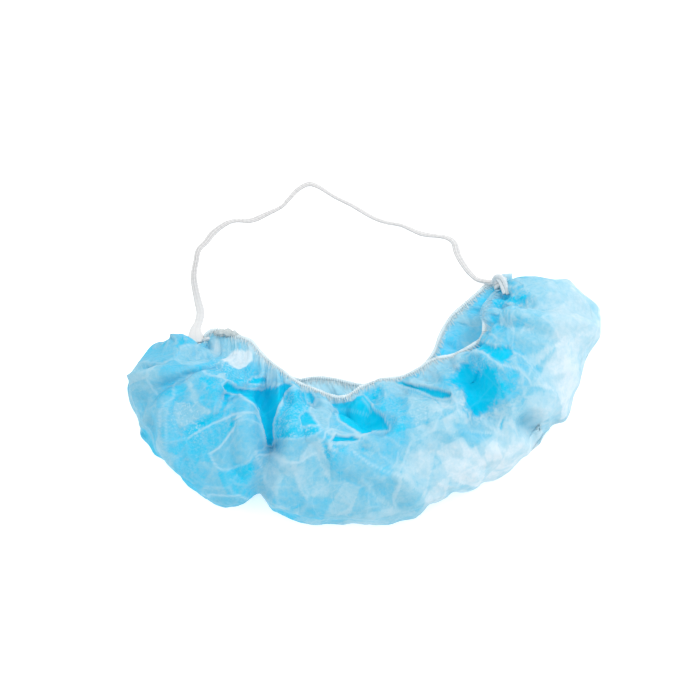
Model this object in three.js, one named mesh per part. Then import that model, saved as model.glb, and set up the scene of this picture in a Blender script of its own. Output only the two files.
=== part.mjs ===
import * as THREE from 'three';

// Disposable beard net, lying on its back wall with the mouth towards +Y.
// A long strip of thin cloth is gathered at both ends and along both edges into a crescent pouch.
// Millimetres, +X to the right along the strip, +Z up, the floor at Z = 0.

// Driving dimensions
const NET_LENGTH = 260;
const NET_DEPTH = 150;
const NET_HEIGHT = 46;
const CLOTH = 1.4;
const MOUTH_GAP = 17;
const MOUTH_SETBACK = 15;
const FOLD_DEPTH = 10;
const GATHER_DEPTH = 2.2;
const GATHER_REACH = 22;
const GATHERS = 19;
const NECK_BORE = 1.2;
const TAB_LENGTH = 4.5;
const TAB_WIDTH = 7;
const RIM_DIAMETER = 2.2;
const BAND_WIDTH = 5;
const BAND_THICKNESS = 1.9;
const TIE_DIAMETER = 2.2;
const TAIL_LENGTH = 15;
const CLEARANCE = 0.4;
const SEAM = 0.6;

// Sizes that follow from them
const NECK_RADIUS = NECK_BORE / 2 + CLOTH / 2;
const TIE_RADIUS = NECK_RADIUS + CLOTH / 2 + CLEARANCE + TIE_DIAMETER / 2;
const CORD_LIFT = CLEARANCE / 2;
const NECK_HEIGHT = TIE_RADIUS + TIE_DIAMETER / 2 + CORD_LIFT;
const TURN_PITCH = TIE_DIAMETER + CLEARANCE;
const NECK_LENGTH = 2.5 * TURN_PITCH + 5 * CLEARANCE;
const NECK_SLOT = THREE.MathUtils.degToRad(70);

// The cloth's own run along the strip and across it, for lengths laid out on the sheet
const STRIP_RUN = 1.75 * NET_LENGTH;
const GIRTH = 1.3 * NET_DEPTH;

// Where the neck's rows stand along the strip: the tab's end, the neck's far and near end
const NECK_ATS = [0, 0.012, 0.028];

// Where the rim elastic turns back: the mouth's width there in rim diameters, how much further in
// the front run turns, and how far towards the front the turn's middle lies and how high
const TURN_WIDTH = 3.6;
const FRONT_INSET = 0.02;
const TURN_FORWARD = 0.3;
const TURN_RISE = 0.75;

// Mesh steps
const SHEET_COLUMNS = 84;
const SHEET_ROWS = 27;
const RIM_STEPS = 90;
const RIM_SIDES = 6;
const CORD_SIDES = 8;
const TIE_STEPS = 26;
const BAND_STEP = 2 * BAND_WIDTH;

// Where the two necks stand, x in shares of the length, y in shares of the depth, tab as a share
// of the tab's size, mouth the side on which the mouth lies, and how the tie goes round: turns,
// and lead, the plan points of its way in, seen from the neck in shares of the tie's radius.
const NECKS = {
  left: {
    x: -0.331, y: 0.218, tab: 0.5, mouth: 1,
    turns: 1, lead: [[-1.70, 2.30], [-1.50, 1.20], [-0.60, 0.50]],
  },
  right: {
    x: 0.290, y: 0.440, tab: 1, mouth: -1,
    turns: 1.5, lead: [[-2.15, 0.80], [-1.00, 0.65]],
  },
};

// The left tie's tail on the floor, along in shares of its length, aside in the tie's radius
const LEFT_TAIL = [{ along: 0.3, aside: 0.17 }, { along: 0.6, aside: 0.90 }, { along: 1, aside: 1.25 }];

// The right tie's tail over the top of the cloth, in places on the sheet
const RIGHT_TAIL = [{ u: 0.957, v: 0.82 }, { u: 0.944, v: 0.84 }, { u: 0.930, v: 0.86 }];

// One row for each section of the pouch. at runs along the strip, rimX and edgeX are shares of
// the length, rimY and edgeY of the depth, rise of the height, gap and setback of the mouth's
// sizes, neck is how far the section is drawn into the round of the neck, and bow the slope at
// which it leaves the rim in plan, to the left of its way outwards, so that it passes the neck.
const SECTIONS = [
  {
    at: 0.055, rimX: -0.311, rimY: 0.196, edgeX: -0.385, edgeY: 0.206,
    rise: 0.40, gap: 0.30, setback: 0.15, neck: 0.35, bow: 1.30,
  },
  {
    at: 0.090, rimX: -0.295, rimY: 0.204, edgeX: -0.442, edgeY: 0.197,
    rise: 0.62, gap: 0.38, setback: 0.20, neck: 0.08, bow: 1.30,
  },
  {
    at: 0.130, rimX: -0.276, rimY: 0.215, edgeX: -0.495, edgeY: 0.110,
    rise: 0.80, gap: 0.45, setback: 0.25, neck: 0, bow: 1.10,
  },
  {
    at: 0.180, rimX: -0.253, rimY: 0.210, edgeX: -0.502, edgeY: -0.020,
    rise: 0.92, gap: 0.55, setback: 0.30, neck: 0, bow: 0.80,
  },
  {
    at: 0.240, rimX: -0.227, rimY: 0.187, edgeX: -0.455, edgeY: -0.192,
    rise: 0.95, gap: 0.65, setback: 0.35, neck: 0, bow: 0.30,
  },
  {
    at: 0.300, rimX: -0.198, rimY: 0.137, edgeX: -0.384, edgeY: -0.349,
    rise: 0.90, gap: 0.75, setback: 0.40, neck: 0, bow: 0,
  },
  {
    at: 0.360, rimX: -0.168, rimY: 0.090, edgeX: -0.287, edgeY: -0.447,
    rise: 0.92, gap: 0.85, setback: 0.50, neck: 0, bow: 0,
  },
  {
    at: 0.420, rimX: -0.134, rimY: 0.075, edgeX: -0.187, edgeY: -0.471,
    rise: 0.96, gap: 0.95, setback: 0.80, neck: 0, bow: 0,
  },
  {
    at: 0.480, rimX: -0.071, rimY: 0.075, edgeX: -0.081, edgeY: -0.527,
    rise: 1.00, gap: 1.00, setback: 1.15, neck: 0, bow: 0,
  },
  {
    at: 0.540, rimX: -0.003, rimY: 0.065, edgeX: 0.031, edgeY: -0.518,
    rise: 0.96, gap: 0.90, setback: 0.75, neck: 0, bow: 0,
  },
  {
    at: 0.600, rimX: 0.060, rimY: 0.079, edgeX: 0.141, edgeY: -0.450,
    rise: 0.92, gap: 0.80, setback: 0.35, neck: 0, bow: 0,
  },
  {
    at: 0.660, rimX: 0.113, rimY: 0.125, edgeX: 0.246, edgeY: -0.366,
    rise: 0.92, gap: 0.85, setback: 0.50, neck: 0, bow: 0,
  },
  {
    at: 0.720, rimX: 0.149, rimY: 0.198, edgeX: 0.348, edgeY: -0.232,
    rise: 0.96, gap: 0.95, setback: 0.90, neck: 0, bow: 0,
  },
  {
    at: 0.780, rimX: 0.177, rimY: 0.299, edgeX: 0.433, edgeY: -0.087,
    rise: 1.00, gap: 1.15, setback: 1.50, neck: 0, bow: -0.10,
  },
  {
    at: 0.830, rimX: 0.204, rimY: 0.356, edgeX: 0.479, edgeY: 0.153,
    rise: 0.96, gap: 1.10, setback: 1.55, neck: 0, bow: -0.40,
  },
  {
    at: 0.870, rimX: 0.227, rimY: 0.387, edgeX: 0.503, edgeY: 0.322,
    rise: 0.82, gap: 0.80, setback: 1.10, neck: 0, bow: -0.80,
  },
  {
    at: 0.910, rimX: 0.249, rimY: 0.402, edgeX: 0.446, edgeY: 0.448,
    rise: 0.62, gap: 0.50, setback: 0.60, neck: 0.08, bow: -1.20,
  },
  {
    at: 0.945, rimX: 0.270, rimY: 0.408, edgeX: 0.362, edgeY: 0.440,
    rise: 0.40, gap: 0.30, setback: 0.25, neck: 0.35, bow: -1.30,
  },
];

// The pouch's cross section from the back rim along the floor, up round the outer edge and over
// the top to the front rim. out is a share of the section's width and up of its rise, and hold
// is how far the cloth follows the front rim.
const PROFILE = [
  { at: 0.00, out: 0.00, up: 0.00, hold: 0.00 },
  { at: 0.12, out: 0.20, up: 0.00, hold: 0.00 },
  { at: 0.26, out: 0.52, up: 0.00, hold: 0.00 },
  { at: 0.38, out: 0.84, up: 0.05, hold: 0.00 },
  { at: 0.47, out: 0.99, up: 0.28, hold: 0.00 },
  { at: 0.54, out: 0.98, up: 0.54, hold: 0.00 },
  { at: 0.64, out: 0.80, up: 0.85, hold: 0.00 },
  { at: 0.76, out: 0.50, up: 1.00, hold: 0.00 },
  { at: 0.86, out: 0.27, up: 0.70, hold: 0.28 },
  { at: 0.94, out: 0.09, up: 0.16, hold: 0.82 },
  { at: 1.00, out: 0.00, up: 0.00, hold: 1.00 },
];

// Creases and hollows of the cloth, each a straight valley over the sheet from one end to the
// other. u runs along the strip and v across it as at does above, width is a share of the net's
// depth, and depth of the fold depth, a ridge's below zero.
const FOLDS = [
  { fromU: 0.345, fromV: 0.94, toU: 0.398, toV: 0.74, width: 0.085, depth: 1.00 },
  { fromU: 0.290, fromV: 0.81, toU: 0.345, toV: 0.92, width: 0.065, depth: 0.45 },
  { fromU: 0.400, fromV: 0.72, toU: 0.398, toV: 0.46, width: 0.065, depth: 0.80 },
  { fromU: 0.325, fromV: 0.84, toU: 0.370, toV: 0.68, width: 0.065, depth: -0.38 },
  { fromU: 0.425, fromV: 0.92, toU: 0.430, toV: 0.70, width: 0.065, depth: -0.45 },
  { fromU: 0.455, fromV: 0.80, toU: 0.500, toV: 0.70, width: 0.065, depth: -0.30 },
  { fromU: 0.505, fromV: 0.93, toU: 0.555, toV: 0.82, width: 0.090, depth: 0.90 },
  { fromU: 0.500, fromV: 0.72, toU: 0.575, toV: 0.64, width: 0.065, depth: -0.30 },
  { fromU: 0.575, fromV: 0.64, toU: 0.613, toV: 0.50, width: 0.065, depth: -0.30 },
  { fromU: 0.620, fromV: 0.93, toU: 0.672, toV: 0.79, width: 0.065, depth: 0.45 },
  { fromU: 0.715, fromV: 0.86, toU: 0.700, toV: 0.72, width: 0.110, depth: 1.00 },
  { fromU: 0.685, fromV: 0.70, toU: 0.702, toV: 0.63, width: 0.065, depth: 0.30 },
  { fromU: 0.138, fromV: 0.54, toU: 0.175, toV: 0.69, width: 0.065, depth: -0.30 },
  { fromU: 0.225, fromV: 0.66, toU: 0.280, toV: 0.56, width: 0.065, depth: -0.30 },
  { fromU: 0.190, fromV: 0.84, toU: 0.205, toV: 0.58, width: 0.065, depth: 0.38 },
  { fromU: 0.110, fromV: 0.86, toU: 0.100, toV: 0.56, width: 0.065, depth: 0.38 },
  { fromU: 0.788, fromV: 0.76, toU: 0.800, toV: 0.58, width: 0.065, depth: 0.30 },
  { fromU: 0.835, fromV: 0.86, toU: 0.840, toV: 0.58, width: 0.070, depth: -0.38 },
  { fromU: 0.880, fromV: 0.86, toU: 0.865, toV: 0.54, width: 0.065, depth: 0.38 },
  { fromU: 0.238, fromV: 0.58, toU: 0.238, toV: 0.46, width: 0.065, depth: 0.38 },
  { fromU: 0.600, fromV: 0.57, toU: 0.600, toV: 0.46, width: 0.065, depth: 0.30 },
  { fromU: 0.640, fromV: 0.57, toU: 0.640, toV: 0.46, width: 0.065, depth: 0.30 },
  { fromU: 0.676, fromV: 0.57, toU: 0.676, toV: 0.44, width: 0.065, depth: 0.38 },
  { fromU: 0.736, fromV: 0.60, toU: 0.738, toV: 0.44, width: 0.065, depth: 0.80 },
  { fromU: 0.778, fromV: 0.57, toU: 0.775, toV: 0.44, width: 0.065, depth: 0.38 },
  { fromU: 0.826, fromV: 0.60, toU: 0.826, toV: 0.44, width: 0.065, depth: 0.40 },
];

// The chosen route of the head elastic over the floor from the left tie to the right one
const BAND_ROUTE = [
  [-89.8, 50.5], [-91.2, 57.0], [-93.5, 70.7], [-92.3, 79.5],
  [-90.8, 86.6], [-86.8, 91.0], [-83.4, 95.9], [-79.2, 99.5], [-75.0, 102.1], [-69.9, 103.4],
  [-62.4, 103.4], [-53.1, 107.4], [-44.7, 111.8], [-41.3, 115.8], [-37.1, 120.7], [-33.7, 123.3],
  [-29.9, 124.8], [-25.3, 123.3], [-16.1, 117.2], [-7.0, 112.5], [6.7, 104.3], [13.6, 102.0],
  [20.5, 100.6], [32.2, 95.7], [40.1, 94.4], [46.0, 93.4], [49.9, 90.8], [51.9, 84.1],
  [54.8, 78.4], [58.8, 72.7], [62.7, 69.2],
];

// A smooth value of one column between the rows of a table
function columnAt(rows, name, at) {
  let i = 0;
  while (i < rows.length - 2 && rows[i + 1].at < at) i += 1;
  const secant = (k) => (rows[k + 1][name] - rows[k][name]) / (rows[k + 1].at - rows[k].at);
  const slope = (k) => {
    if (k === 0 || k === rows.length - 1) return secant(Math.max(k - 1, 0));
    const [before, after] = [secant(k - 1), secant(k)];
    return before * after <= 0 ? 0 : 2 * before * after / (before + after);
  };
  const from = rows[i];
  const to = rows[i + 1];
  const span = to.at - from.at;
  const t = THREE.MathUtils.clamp((at - from.at) / span, 0, 1);
  const rise = to[name] - from[name];
  const bend = (1 - t) * (slope(i) * span - rise) - t * (slope(i + 1) * span - rise);
  return from[name] + t * rise + t * (1 - t) * bend;
}

// A neck's rows in millimetres, from the loose tab at the strip's end to where the pouch opens
function neckRows({ x, y, tab, mouth }, ats) {
  const centre = new THREE.Vector2(x * NET_LENGTH, y * NET_DEPTH);
  const tabY = centre.y + NECK_LENGTH / 2 + tab * TAB_LENGTH;
  const row = (at, ringY, width, rise, neck) => ({
    at, neck, rise, gap: rise / 2, setback: 0, bow: 0,
    rimX: centre.x + mouth * width / 2, rimY: ringY,
    edgeX: centre.x - mouth * width / 2, edgeY: ringY,
  });
  return [
    row(ats[0], tabY, tab * TAB_WIDTH, NECK_HEIGHT, 0.6),
    row(ats[1], centre.y + NECK_LENGTH / 2, 2 * NECK_RADIUS, NECK_HEIGHT, 1),
    row(ats[2], centre.y - NECK_LENGTH / 2, 2 * NECK_RADIUS, NECK_HEIGHT, 1),
  ];
}

// All sections in millimetres, with both necks
function sectionRows() {
  const pouch = SECTIONS.map((row) => ({
    at: row.at, neck: row.neck, bow: row.bow,
    rimX: row.rimX * NET_LENGTH, rimY: row.rimY * NET_DEPTH,
    edgeX: row.edgeX * NET_LENGTH, edgeY: row.edgeY * NET_DEPTH,
    rise: row.rise * NET_HEIGHT, gap: row.gap * MOUTH_GAP, setback: row.setback * MOUTH_SETBACK,
  }));
  return [
    ...neckRows(NECKS.left, NECK_ATS),
    ...pouch,
    ...neckRows(NECKS.right, NECK_ATS.map((at) => 1 - at)).reverse(),
  ];
}

const ROWS = sectionRows();

// The middle of the cloth without its folds, u along the strip and v across it
function smoothSheet(u, v) {
  const row = {};
  for (const name of ['rimX', 'rimY', 'edgeX', 'edgeY', 'rise', 'gap', 'setback', 'neck', 'bow']) {
    row[name] = columnAt(ROWS, name, u);
  }
  const rim = new THREE.Vector2(row.rimX, row.rimY);
  const across = new THREE.Vector2(row.edgeX, row.edgeY).sub(rim);
  const width = across.length();
  across.divideScalar(width);
  const hold = columnAt(PROFILE, 'hold', v);
  const pouchOut = width * columnAt(PROFILE, 'out', v) + row.setback * hold;
  const pouchUp = CLOTH / 2 + row.rise * columnAt(PROFILE, 'up', v) + row.gap * hold;
  const turn = Math.PI + NECK_SLOT / 2 + v * (2 * Math.PI - NECK_SLOT);
  const neckOut = width / 2 + NECK_RADIUS * Math.cos(turn);
  const neckUp = NECK_HEIGHT + NECK_RADIUS * Math.sin(turn);
  const neck = THREE.MathUtils.clamp(row.neck, 0, 1);
  const out = THREE.MathUtils.lerp(pouchOut, neckOut, neck);
  const up = THREE.MathUtils.lerp(pouchUp, neckUp, neck);
  const share = out / width;
  const aside = row.bow * (1 - neck) * share * (1 - share) ** 2 * width;
  return new THREE.Vector3(
    rim.x + across.x * out - across.y * aside,
    rim.y + across.y * out + across.x * aside,
    Math.max(up, CLOTH / 2),
  );
}

// The outward direction of any surface given as a function of u and v
function normalOf(surface, u, v) {
  const du = 0.5 / SHEET_COLUMNS;
  const dv = 0.5 / SHEET_ROWS;
  const along = surface(Math.min(u + du, 1), v).sub(surface(Math.max(u - du, 0), v));
  const over = surface(u, Math.min(v + dv, 1)).sub(surface(u, Math.max(v - dv, 0)));
  return along.cross(over).normalize();
}

// How far the folds and gathers move the cloth outwards at one place
function foldHeight(u, v) {
  const p = new THREE.Vector2(u * STRIP_RUN, v * GIRTH);
  let height = 0;
  for (const fold of FOLDS) {
    const a = new THREE.Vector2(fold.fromU * STRIP_RUN, fold.fromV * GIRTH);
    const line = new THREE.Vector2(fold.toU * STRIP_RUN, fold.toV * GIRTH).sub(a);
    const t = THREE.MathUtils.clamp(p.clone().sub(a).dot(line) / line.lengthSq(), 0, 1);
    const away = p.distanceTo(a.addScaledVector(line, t)) / (fold.width * NET_DEPTH);
    if (away < 1) height -= fold.depth * FOLD_DEPTH * (1 - away * away) ** 2;
  }
  const fromRim = Math.min(v, 1 - v) * GIRTH / GATHER_REACH;
  if (fromRim < 1) {
    const swell = 16 * fromRim ** 2 * (1 - fromRim) ** 2;
    height = height * fromRim + GATHER_DEPTH * swell * Math.cos(2 * Math.PI * GATHERS * u);
  }
  return height * (1 - THREE.MathUtils.clamp(columnAt(ROWS, 'neck', u) * 2, 0, 1));
}

// The middle of the cloth with its folds, never below the floor
function foldedSheet(u, v) {
  const point = smoothSheet(u, v);
  point.addScaledVector(normalOf(smoothSheet, u, v), foldHeight(u, v));
  point.z = Math.max(point.z, CLOTH / 2);
  return point;
}

function solidFrom(positions, indices) {
  const geometry = new THREE.BufferGeometry();
  geometry.setAttribute('position', new THREE.Float32BufferAttribute(positions, 3));
  geometry.setIndex(indices);
  geometry.computeVertexNormals();
  return geometry;
}

// One closed solid of the cloth's thickness to both sides of its middle
function sheetGeometry() {
  const outside = [];
  const inside = [];
  for (let i = 0; i <= SHEET_COLUMNS; i += 1) {
    for (let j = 0; j <= SHEET_ROWS; j += 1) {
      const u = i / SHEET_COLUMNS;
      const v = j / SHEET_ROWS;
      const middle = foldedSheet(u, v);
      const normal = normalOf(foldedSheet, u, v).multiplyScalar(CLOTH / 2);
      const outer = middle.clone().add(normal);
      const inner = middle.clone().sub(normal);
      outside.push(outer.x, outer.y, Math.max(outer.z, 0));
      inside.push(inner.x, inner.y, Math.max(inner.z, 0));
    }
  }
  const count = outside.length / 3;
  const at = (i, j) => i * (SHEET_ROWS + 1) + j;
  const indices = [];
  for (let i = 0; i < SHEET_COLUMNS; i += 1) {
    for (let j = 0; j < SHEET_ROWS; j += 1) {
      const [a, b, c, d] = [at(i, j), at(i + 1, j), at(i + 1, j + 1), at(i, j + 1)];
      indices.push(a, b, c, a, c, d);
      indices.push(count + a, count + c, count + b, count + a, count + d, count + c);
    }
  }
  const border = [];
  for (let i = 0; i < SHEET_COLUMNS; i += 1) border.push(at(i, 0));
  for (let j = 0; j < SHEET_ROWS; j += 1) border.push(at(SHEET_COLUMNS, j));
  for (let i = SHEET_COLUMNS; i > 0; i -= 1) border.push(at(i, SHEET_ROWS));
  for (let j = SHEET_ROWS; j > 0; j -= 1) border.push(at(0, j));
  border.forEach((p, k) => {
    const q = border[(k + 1) % border.length];
    indices.push(q, p, count + p, q, count + p, count + q);
  });
  return solidFrom([...outside, ...inside], indices);
}

// The middle of the rim elastic beside the cloth's edge, front or back
function rimPoint(u, v) {
  const step = 1 / SHEET_ROWS;
  const edge = smoothSheet(u, v);
  const along = smoothSheet(u + step / 4, v).sub(smoothSheet(u - step / 4, v)).normalize();
  const away = edge.clone().sub(smoothSheet(u, v + (v < 0.5 ? step : -step)));
  away.addScaledVector(along, -away.dot(along)).normalize();
  const reach = RIM_DIAMETER * (0.5 + columnAt(ROWS, 'neck', u)) + SEAM;
  edge.addScaledVector(away, reach);
  edge.z = Math.max(edge.z, RIM_DIAMETER / 2 + CORD_LIFT);
  return edge;
}

// How far along the strip the mouth is wide enough for the elastic to turn back, from one end
function mouthCorner(end, inward) {
  const steps = 200;
  for (let k = 1; k < steps / 2; k += 1) {
    const u = end + inward * k / steps;
    if (rimPoint(u, 0).distanceTo(rimPoint(u, 1)) > TURN_WIDTH * RIM_DIAMETER) return u;
  }
  return 0.5;
}

// A closed ring of round section along a closed curve
function ringTubeGeometry(curve, radius, steps, sides) {
  const { normals, binormals } = curve.computeFrenetFrames(steps, true);
  const positions = [];
  const indices = [];
  for (let i = 0; i < steps; i += 1) {
    const centre = curve.getPointAt(i / steps);
    for (let k = 0; k < sides; k += 1) {
      const turn = 2 * Math.PI * k / sides;
      const point = centre.clone();
      point.addScaledVector(normals[i], radius * Math.cos(turn));
      point.addScaledVector(binormals[i], radius * Math.sin(turn));
      positions.push(point.x, point.y, point.z);
      const [a, b] = [i * sides + k, i * sides + (k + 1) % sides];
      const [c, d] = [((i + 1) % steps) * sides + k, ((i + 1) % steps) * sides + (k + 1) % sides];
      indices.push(a, b, d, a, d, c);
    }
  }
  return solidFrom(positions, indices);
}

// The middle of a turn, where the elastic rises off the back edge before it crosses to the front
function turnPoint(back, front) {
  const middle = back.clone().lerp(front, TURN_FORWARD);
  return middle.setZ(THREE.MathUtils.lerp(back.z, front.z, TURN_RISE));
}

// The rim elastic runs along the back edge, turns back in the mouth's corner and returns along the
// front edge, whose turns lie a little further from the necks.
function rimGeometry() {
  const first = mouthCorner(0, 1);
  const last = mouthCorner(1, -1);
  const back = [];
  const front = [];
  for (let k = 0; k <= SHEET_COLUMNS; k += 1) {
    const share = k / SHEET_COLUMNS;
    back.push(rimPoint(THREE.MathUtils.lerp(first, last, share), 0));
    front.unshift(rimPoint(THREE.MathUtils.lerp(first + FRONT_INSET, last - FRONT_INSET, share), 1));
  }
  const points = [...back, turnPoint(back.at(-1), front[0]), ...front, turnPoint(back[0], front.at(-1))];
  const curve = new THREE.CatmullRomCurve3(points, true, 'centripetal');
  return ringTubeGeometry(curve, RIM_DIAMETER / 2, RIM_STEPS, RIM_SIDES);
}

// A tube of oval section with closed ends along an open curve
function cordGeometry(points, width, thickness, steps) {
  const section = new THREE.Shape();
  for (let k = 0; k < CORD_SIDES; k += 1) {
    const turn = 2 * Math.PI * k / CORD_SIDES;
    const x = Math.cos(turn) * thickness / 2;
    const y = Math.sin(turn) * width / 2;
    if (k === 0) section.moveTo(x, y);
    else section.lineTo(x, y);
  }
  section.closePath();
  const extrudePath = new THREE.CatmullRomCurve3(points, false, 'centripetal');
  return new THREE.ExtrudeGeometry(section, { steps, bevelEnabled: false, extrudePath });
}

// The tie's way: along the floor up to the neck, under it, round it and off as a short tail
function tiePoints({ x, y, turns, lead }, tail) {
  const middle = new THREE.Vector3(x * NET_LENGTH, y * NET_DEPTH, NECK_HEIGHT);
  const points = lead.map(([px, py]) => new THREE.Vector3(px, py, -1).multiplyScalar(TIE_RADIUS));
  const steps = Math.round(12 * turns);
  for (let k = 0; k <= steps; k += 1) {
    const turn = 2 * Math.PI * turns * k / steps - Math.PI / 2;
    const along = TURN_PITCH * turns * (0.5 - k / steps);
    points.push(new THREE.Vector3(TIE_RADIUS * Math.cos(turn), along, TIE_RADIUS * Math.sin(turn)));
  }
  return [...points.map((point) => point.add(middle)), ...tail];
}

function leftTail({ x, y }) {
  return LEFT_TAIL.map(({ along, aside }) => new THREE.Vector3(
    x * NET_LENGTH + along * TAIL_LENGTH,
    y * NET_DEPTH + aside * TIE_RADIUS,
    TIE_DIAMETER / 2 + CORD_LIFT,
  ));
}

function rightTail() {
  const lift = CLOTH / 2 + 1.5 * CLEARANCE + TIE_DIAMETER / 2;
  return RIGHT_TAIL.map(({ u, v }) => {
    return foldedSheet(u, v).addScaledVector(normalOf(foldedSheet, u, v), lift);
  });
}

const LEFT_TIE = tiePoints(NECKS.left, leftTail(NECKS.left));
const RIGHT_TIE = tiePoints(NECKS.right, rightTail());

function tieGeometry(points) {
  return cordGeometry(points, TIE_DIAMETER, TIE_DIAMETER, TIE_STEPS);
}

// The head elastic stops just short of both ties
function bandGeometry() {
  const fromTie = ([end, next], distance) => {
    const away = end.clone().sub(next).normalize().multiplyScalar(distance);
    return end.clone().add(away).setZ(BAND_THICKNESS / 2);
  };
  const route = BAND_ROUTE.map(([x, y]) => new THREE.Vector3(x, y, BAND_THICKNESS / 2));
  const points = [
    fromTie(LEFT_TIE, CLEARANCE), fromTie(LEFT_TIE, BAND_WIDTH), ...route,
    fromTie(RIGHT_TIE, BAND_WIDTH), fromTie(RIGHT_TIE, CLEARANCE),
  ];
  const length = new THREE.CatmullRomCurve3(points, false, 'centripetal').getLength();
  return cordGeometry(points, BAND_WIDTH, BAND_THICKNESS, Math.round(length / BAND_STEP));
}

const netBlue = new THREE.MeshStandardMaterial({ color: 0x8ed4f0, roughness: 0.8, metalness: 0 });
const rimWhite = new THREE.MeshStandardMaterial({ color: 0xe6f1f5, roughness: 0.85, metalness: 0 });
const elasticWhite = new THREE.MeshStandardMaterial({ color: 0xe8e8e8, roughness: 0.85, metalness: 0 });

function addPiece(parent, name, geometry, material) {
  const mesh = new THREE.Mesh(geometry, material.clone());
  mesh.name = name;
  parent.add(mesh);
  return mesh;
}

const group = new THREE.Group();
const net = [
  addPiece(group, 'net_pouch', sheetGeometry(), netBlue),
  addPiece(group, 'rim_elastic', rimGeometry(), rimWhite),
  addPiece(group, 'tie_left', tieGeometry(LEFT_TIE), elasticWhite),
  addPiece(group, 'tie_right', tieGeometry(RIGHT_TIE), elasticWhite),
];
addPiece(group, 'head_elastic', bandGeometry(), elasticWhite);

// The origin is the middle of the net's box on the floor, the head elastic left out
const box = new THREE.Box3();
net.forEach((mesh) => box.expandByObject(mesh));
const centre = box.getCenter(new THREE.Vector3());
group.position.set(-centre.x, -centre.y, 0);

export default group;
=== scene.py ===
import math

import bmesh
import bpy
import numpy as np
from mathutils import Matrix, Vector
from mathutils.geometry import delaunay_2d_cdt


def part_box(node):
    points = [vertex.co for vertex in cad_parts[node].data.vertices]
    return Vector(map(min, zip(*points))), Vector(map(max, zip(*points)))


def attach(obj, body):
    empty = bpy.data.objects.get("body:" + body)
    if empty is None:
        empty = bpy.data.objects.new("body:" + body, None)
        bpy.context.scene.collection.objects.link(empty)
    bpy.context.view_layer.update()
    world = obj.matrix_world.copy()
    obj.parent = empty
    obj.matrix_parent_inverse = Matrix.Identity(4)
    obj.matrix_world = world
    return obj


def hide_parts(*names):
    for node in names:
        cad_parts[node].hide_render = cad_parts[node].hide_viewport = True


# Disposable beard net of thin nonwoven cloth, lying on its back wall with its mouth towards +Y.
# Lengths are millimetres, but metres where the camera, the floor and the lamps are set up. u runs
# along the cloth strip and v across it, from the mouth's back edge along the floor, round the belly
# and over the top to its front edge.

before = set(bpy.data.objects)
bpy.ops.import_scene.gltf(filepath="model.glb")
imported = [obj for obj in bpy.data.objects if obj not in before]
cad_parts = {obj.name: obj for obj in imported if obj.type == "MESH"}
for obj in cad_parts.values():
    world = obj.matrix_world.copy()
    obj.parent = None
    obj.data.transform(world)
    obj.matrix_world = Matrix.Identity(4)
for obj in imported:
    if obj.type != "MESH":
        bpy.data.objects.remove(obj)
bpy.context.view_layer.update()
MM = 0.001

# Camera

ELEVATION = math.radians(72)
LENS = 600
SENSOR = 36
CLIP_END = 20
VIEW_WIDTH = 0.385
LOOK_AT = Vector((-0.0073, 0.0308, 0))
AWAY = Vector((0, -math.cos(ELEVATION), math.sin(ELEVATION)))

camera_data = bpy.data.cameras.new("camera")
camera_data.lens = LENS
camera_data.sensor_width = SENSOR
camera_data.clip_end = CLIP_END
camera = bpy.data.objects.new("camera", camera_data)
camera.location = LOOK_AT + AWAY * VIEW_WIDTH * LENS / SENSOR
camera.rotation_euler = (math.pi / 2 - ELEVATION, 0, 0)
bpy.context.scene.collection.objects.link(camera)
bpy.context.scene.camera = camera

# The net's shape, as the solids have it

NET_LENGTH = 260
NET_DEPTH = 150
NET_HEIGHT = 46
CLOTH = 1.4
MOUTH_GAP = 17
MOUTH_SETBACK = 15
FOLD_DEPTH = 10
GATHER_DEPTH = 2.2
GATHER_REACH = 22
GATHERS = 19
NECK_RADIUS = 1.3
NECK_HEIGHT = 4.8
NECK_LENGTH = 8.5
NECK_SLOT = math.radians(70)
TAB_LENGTH = 4.5
TAB_WIDTH = 7
TAB_SHARE = 0.6
NECK_ATS = (0, 0.012, 0.028)
STRIP_RUN = 1.75 * NET_LENGTH
GIRTH = 1.3 * NET_DEPTH

# Where the necks stand in millimetres, the tab's share of its size, the side of the mouth
LEFT_NECK = (-0.331 * NET_LENGTH, 0.218 * NET_DEPTH, 0.5, 1)
RIGHT_NECK = (0.290 * NET_LENGTH, 0.440 * NET_DEPTH, 1, -1)

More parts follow.
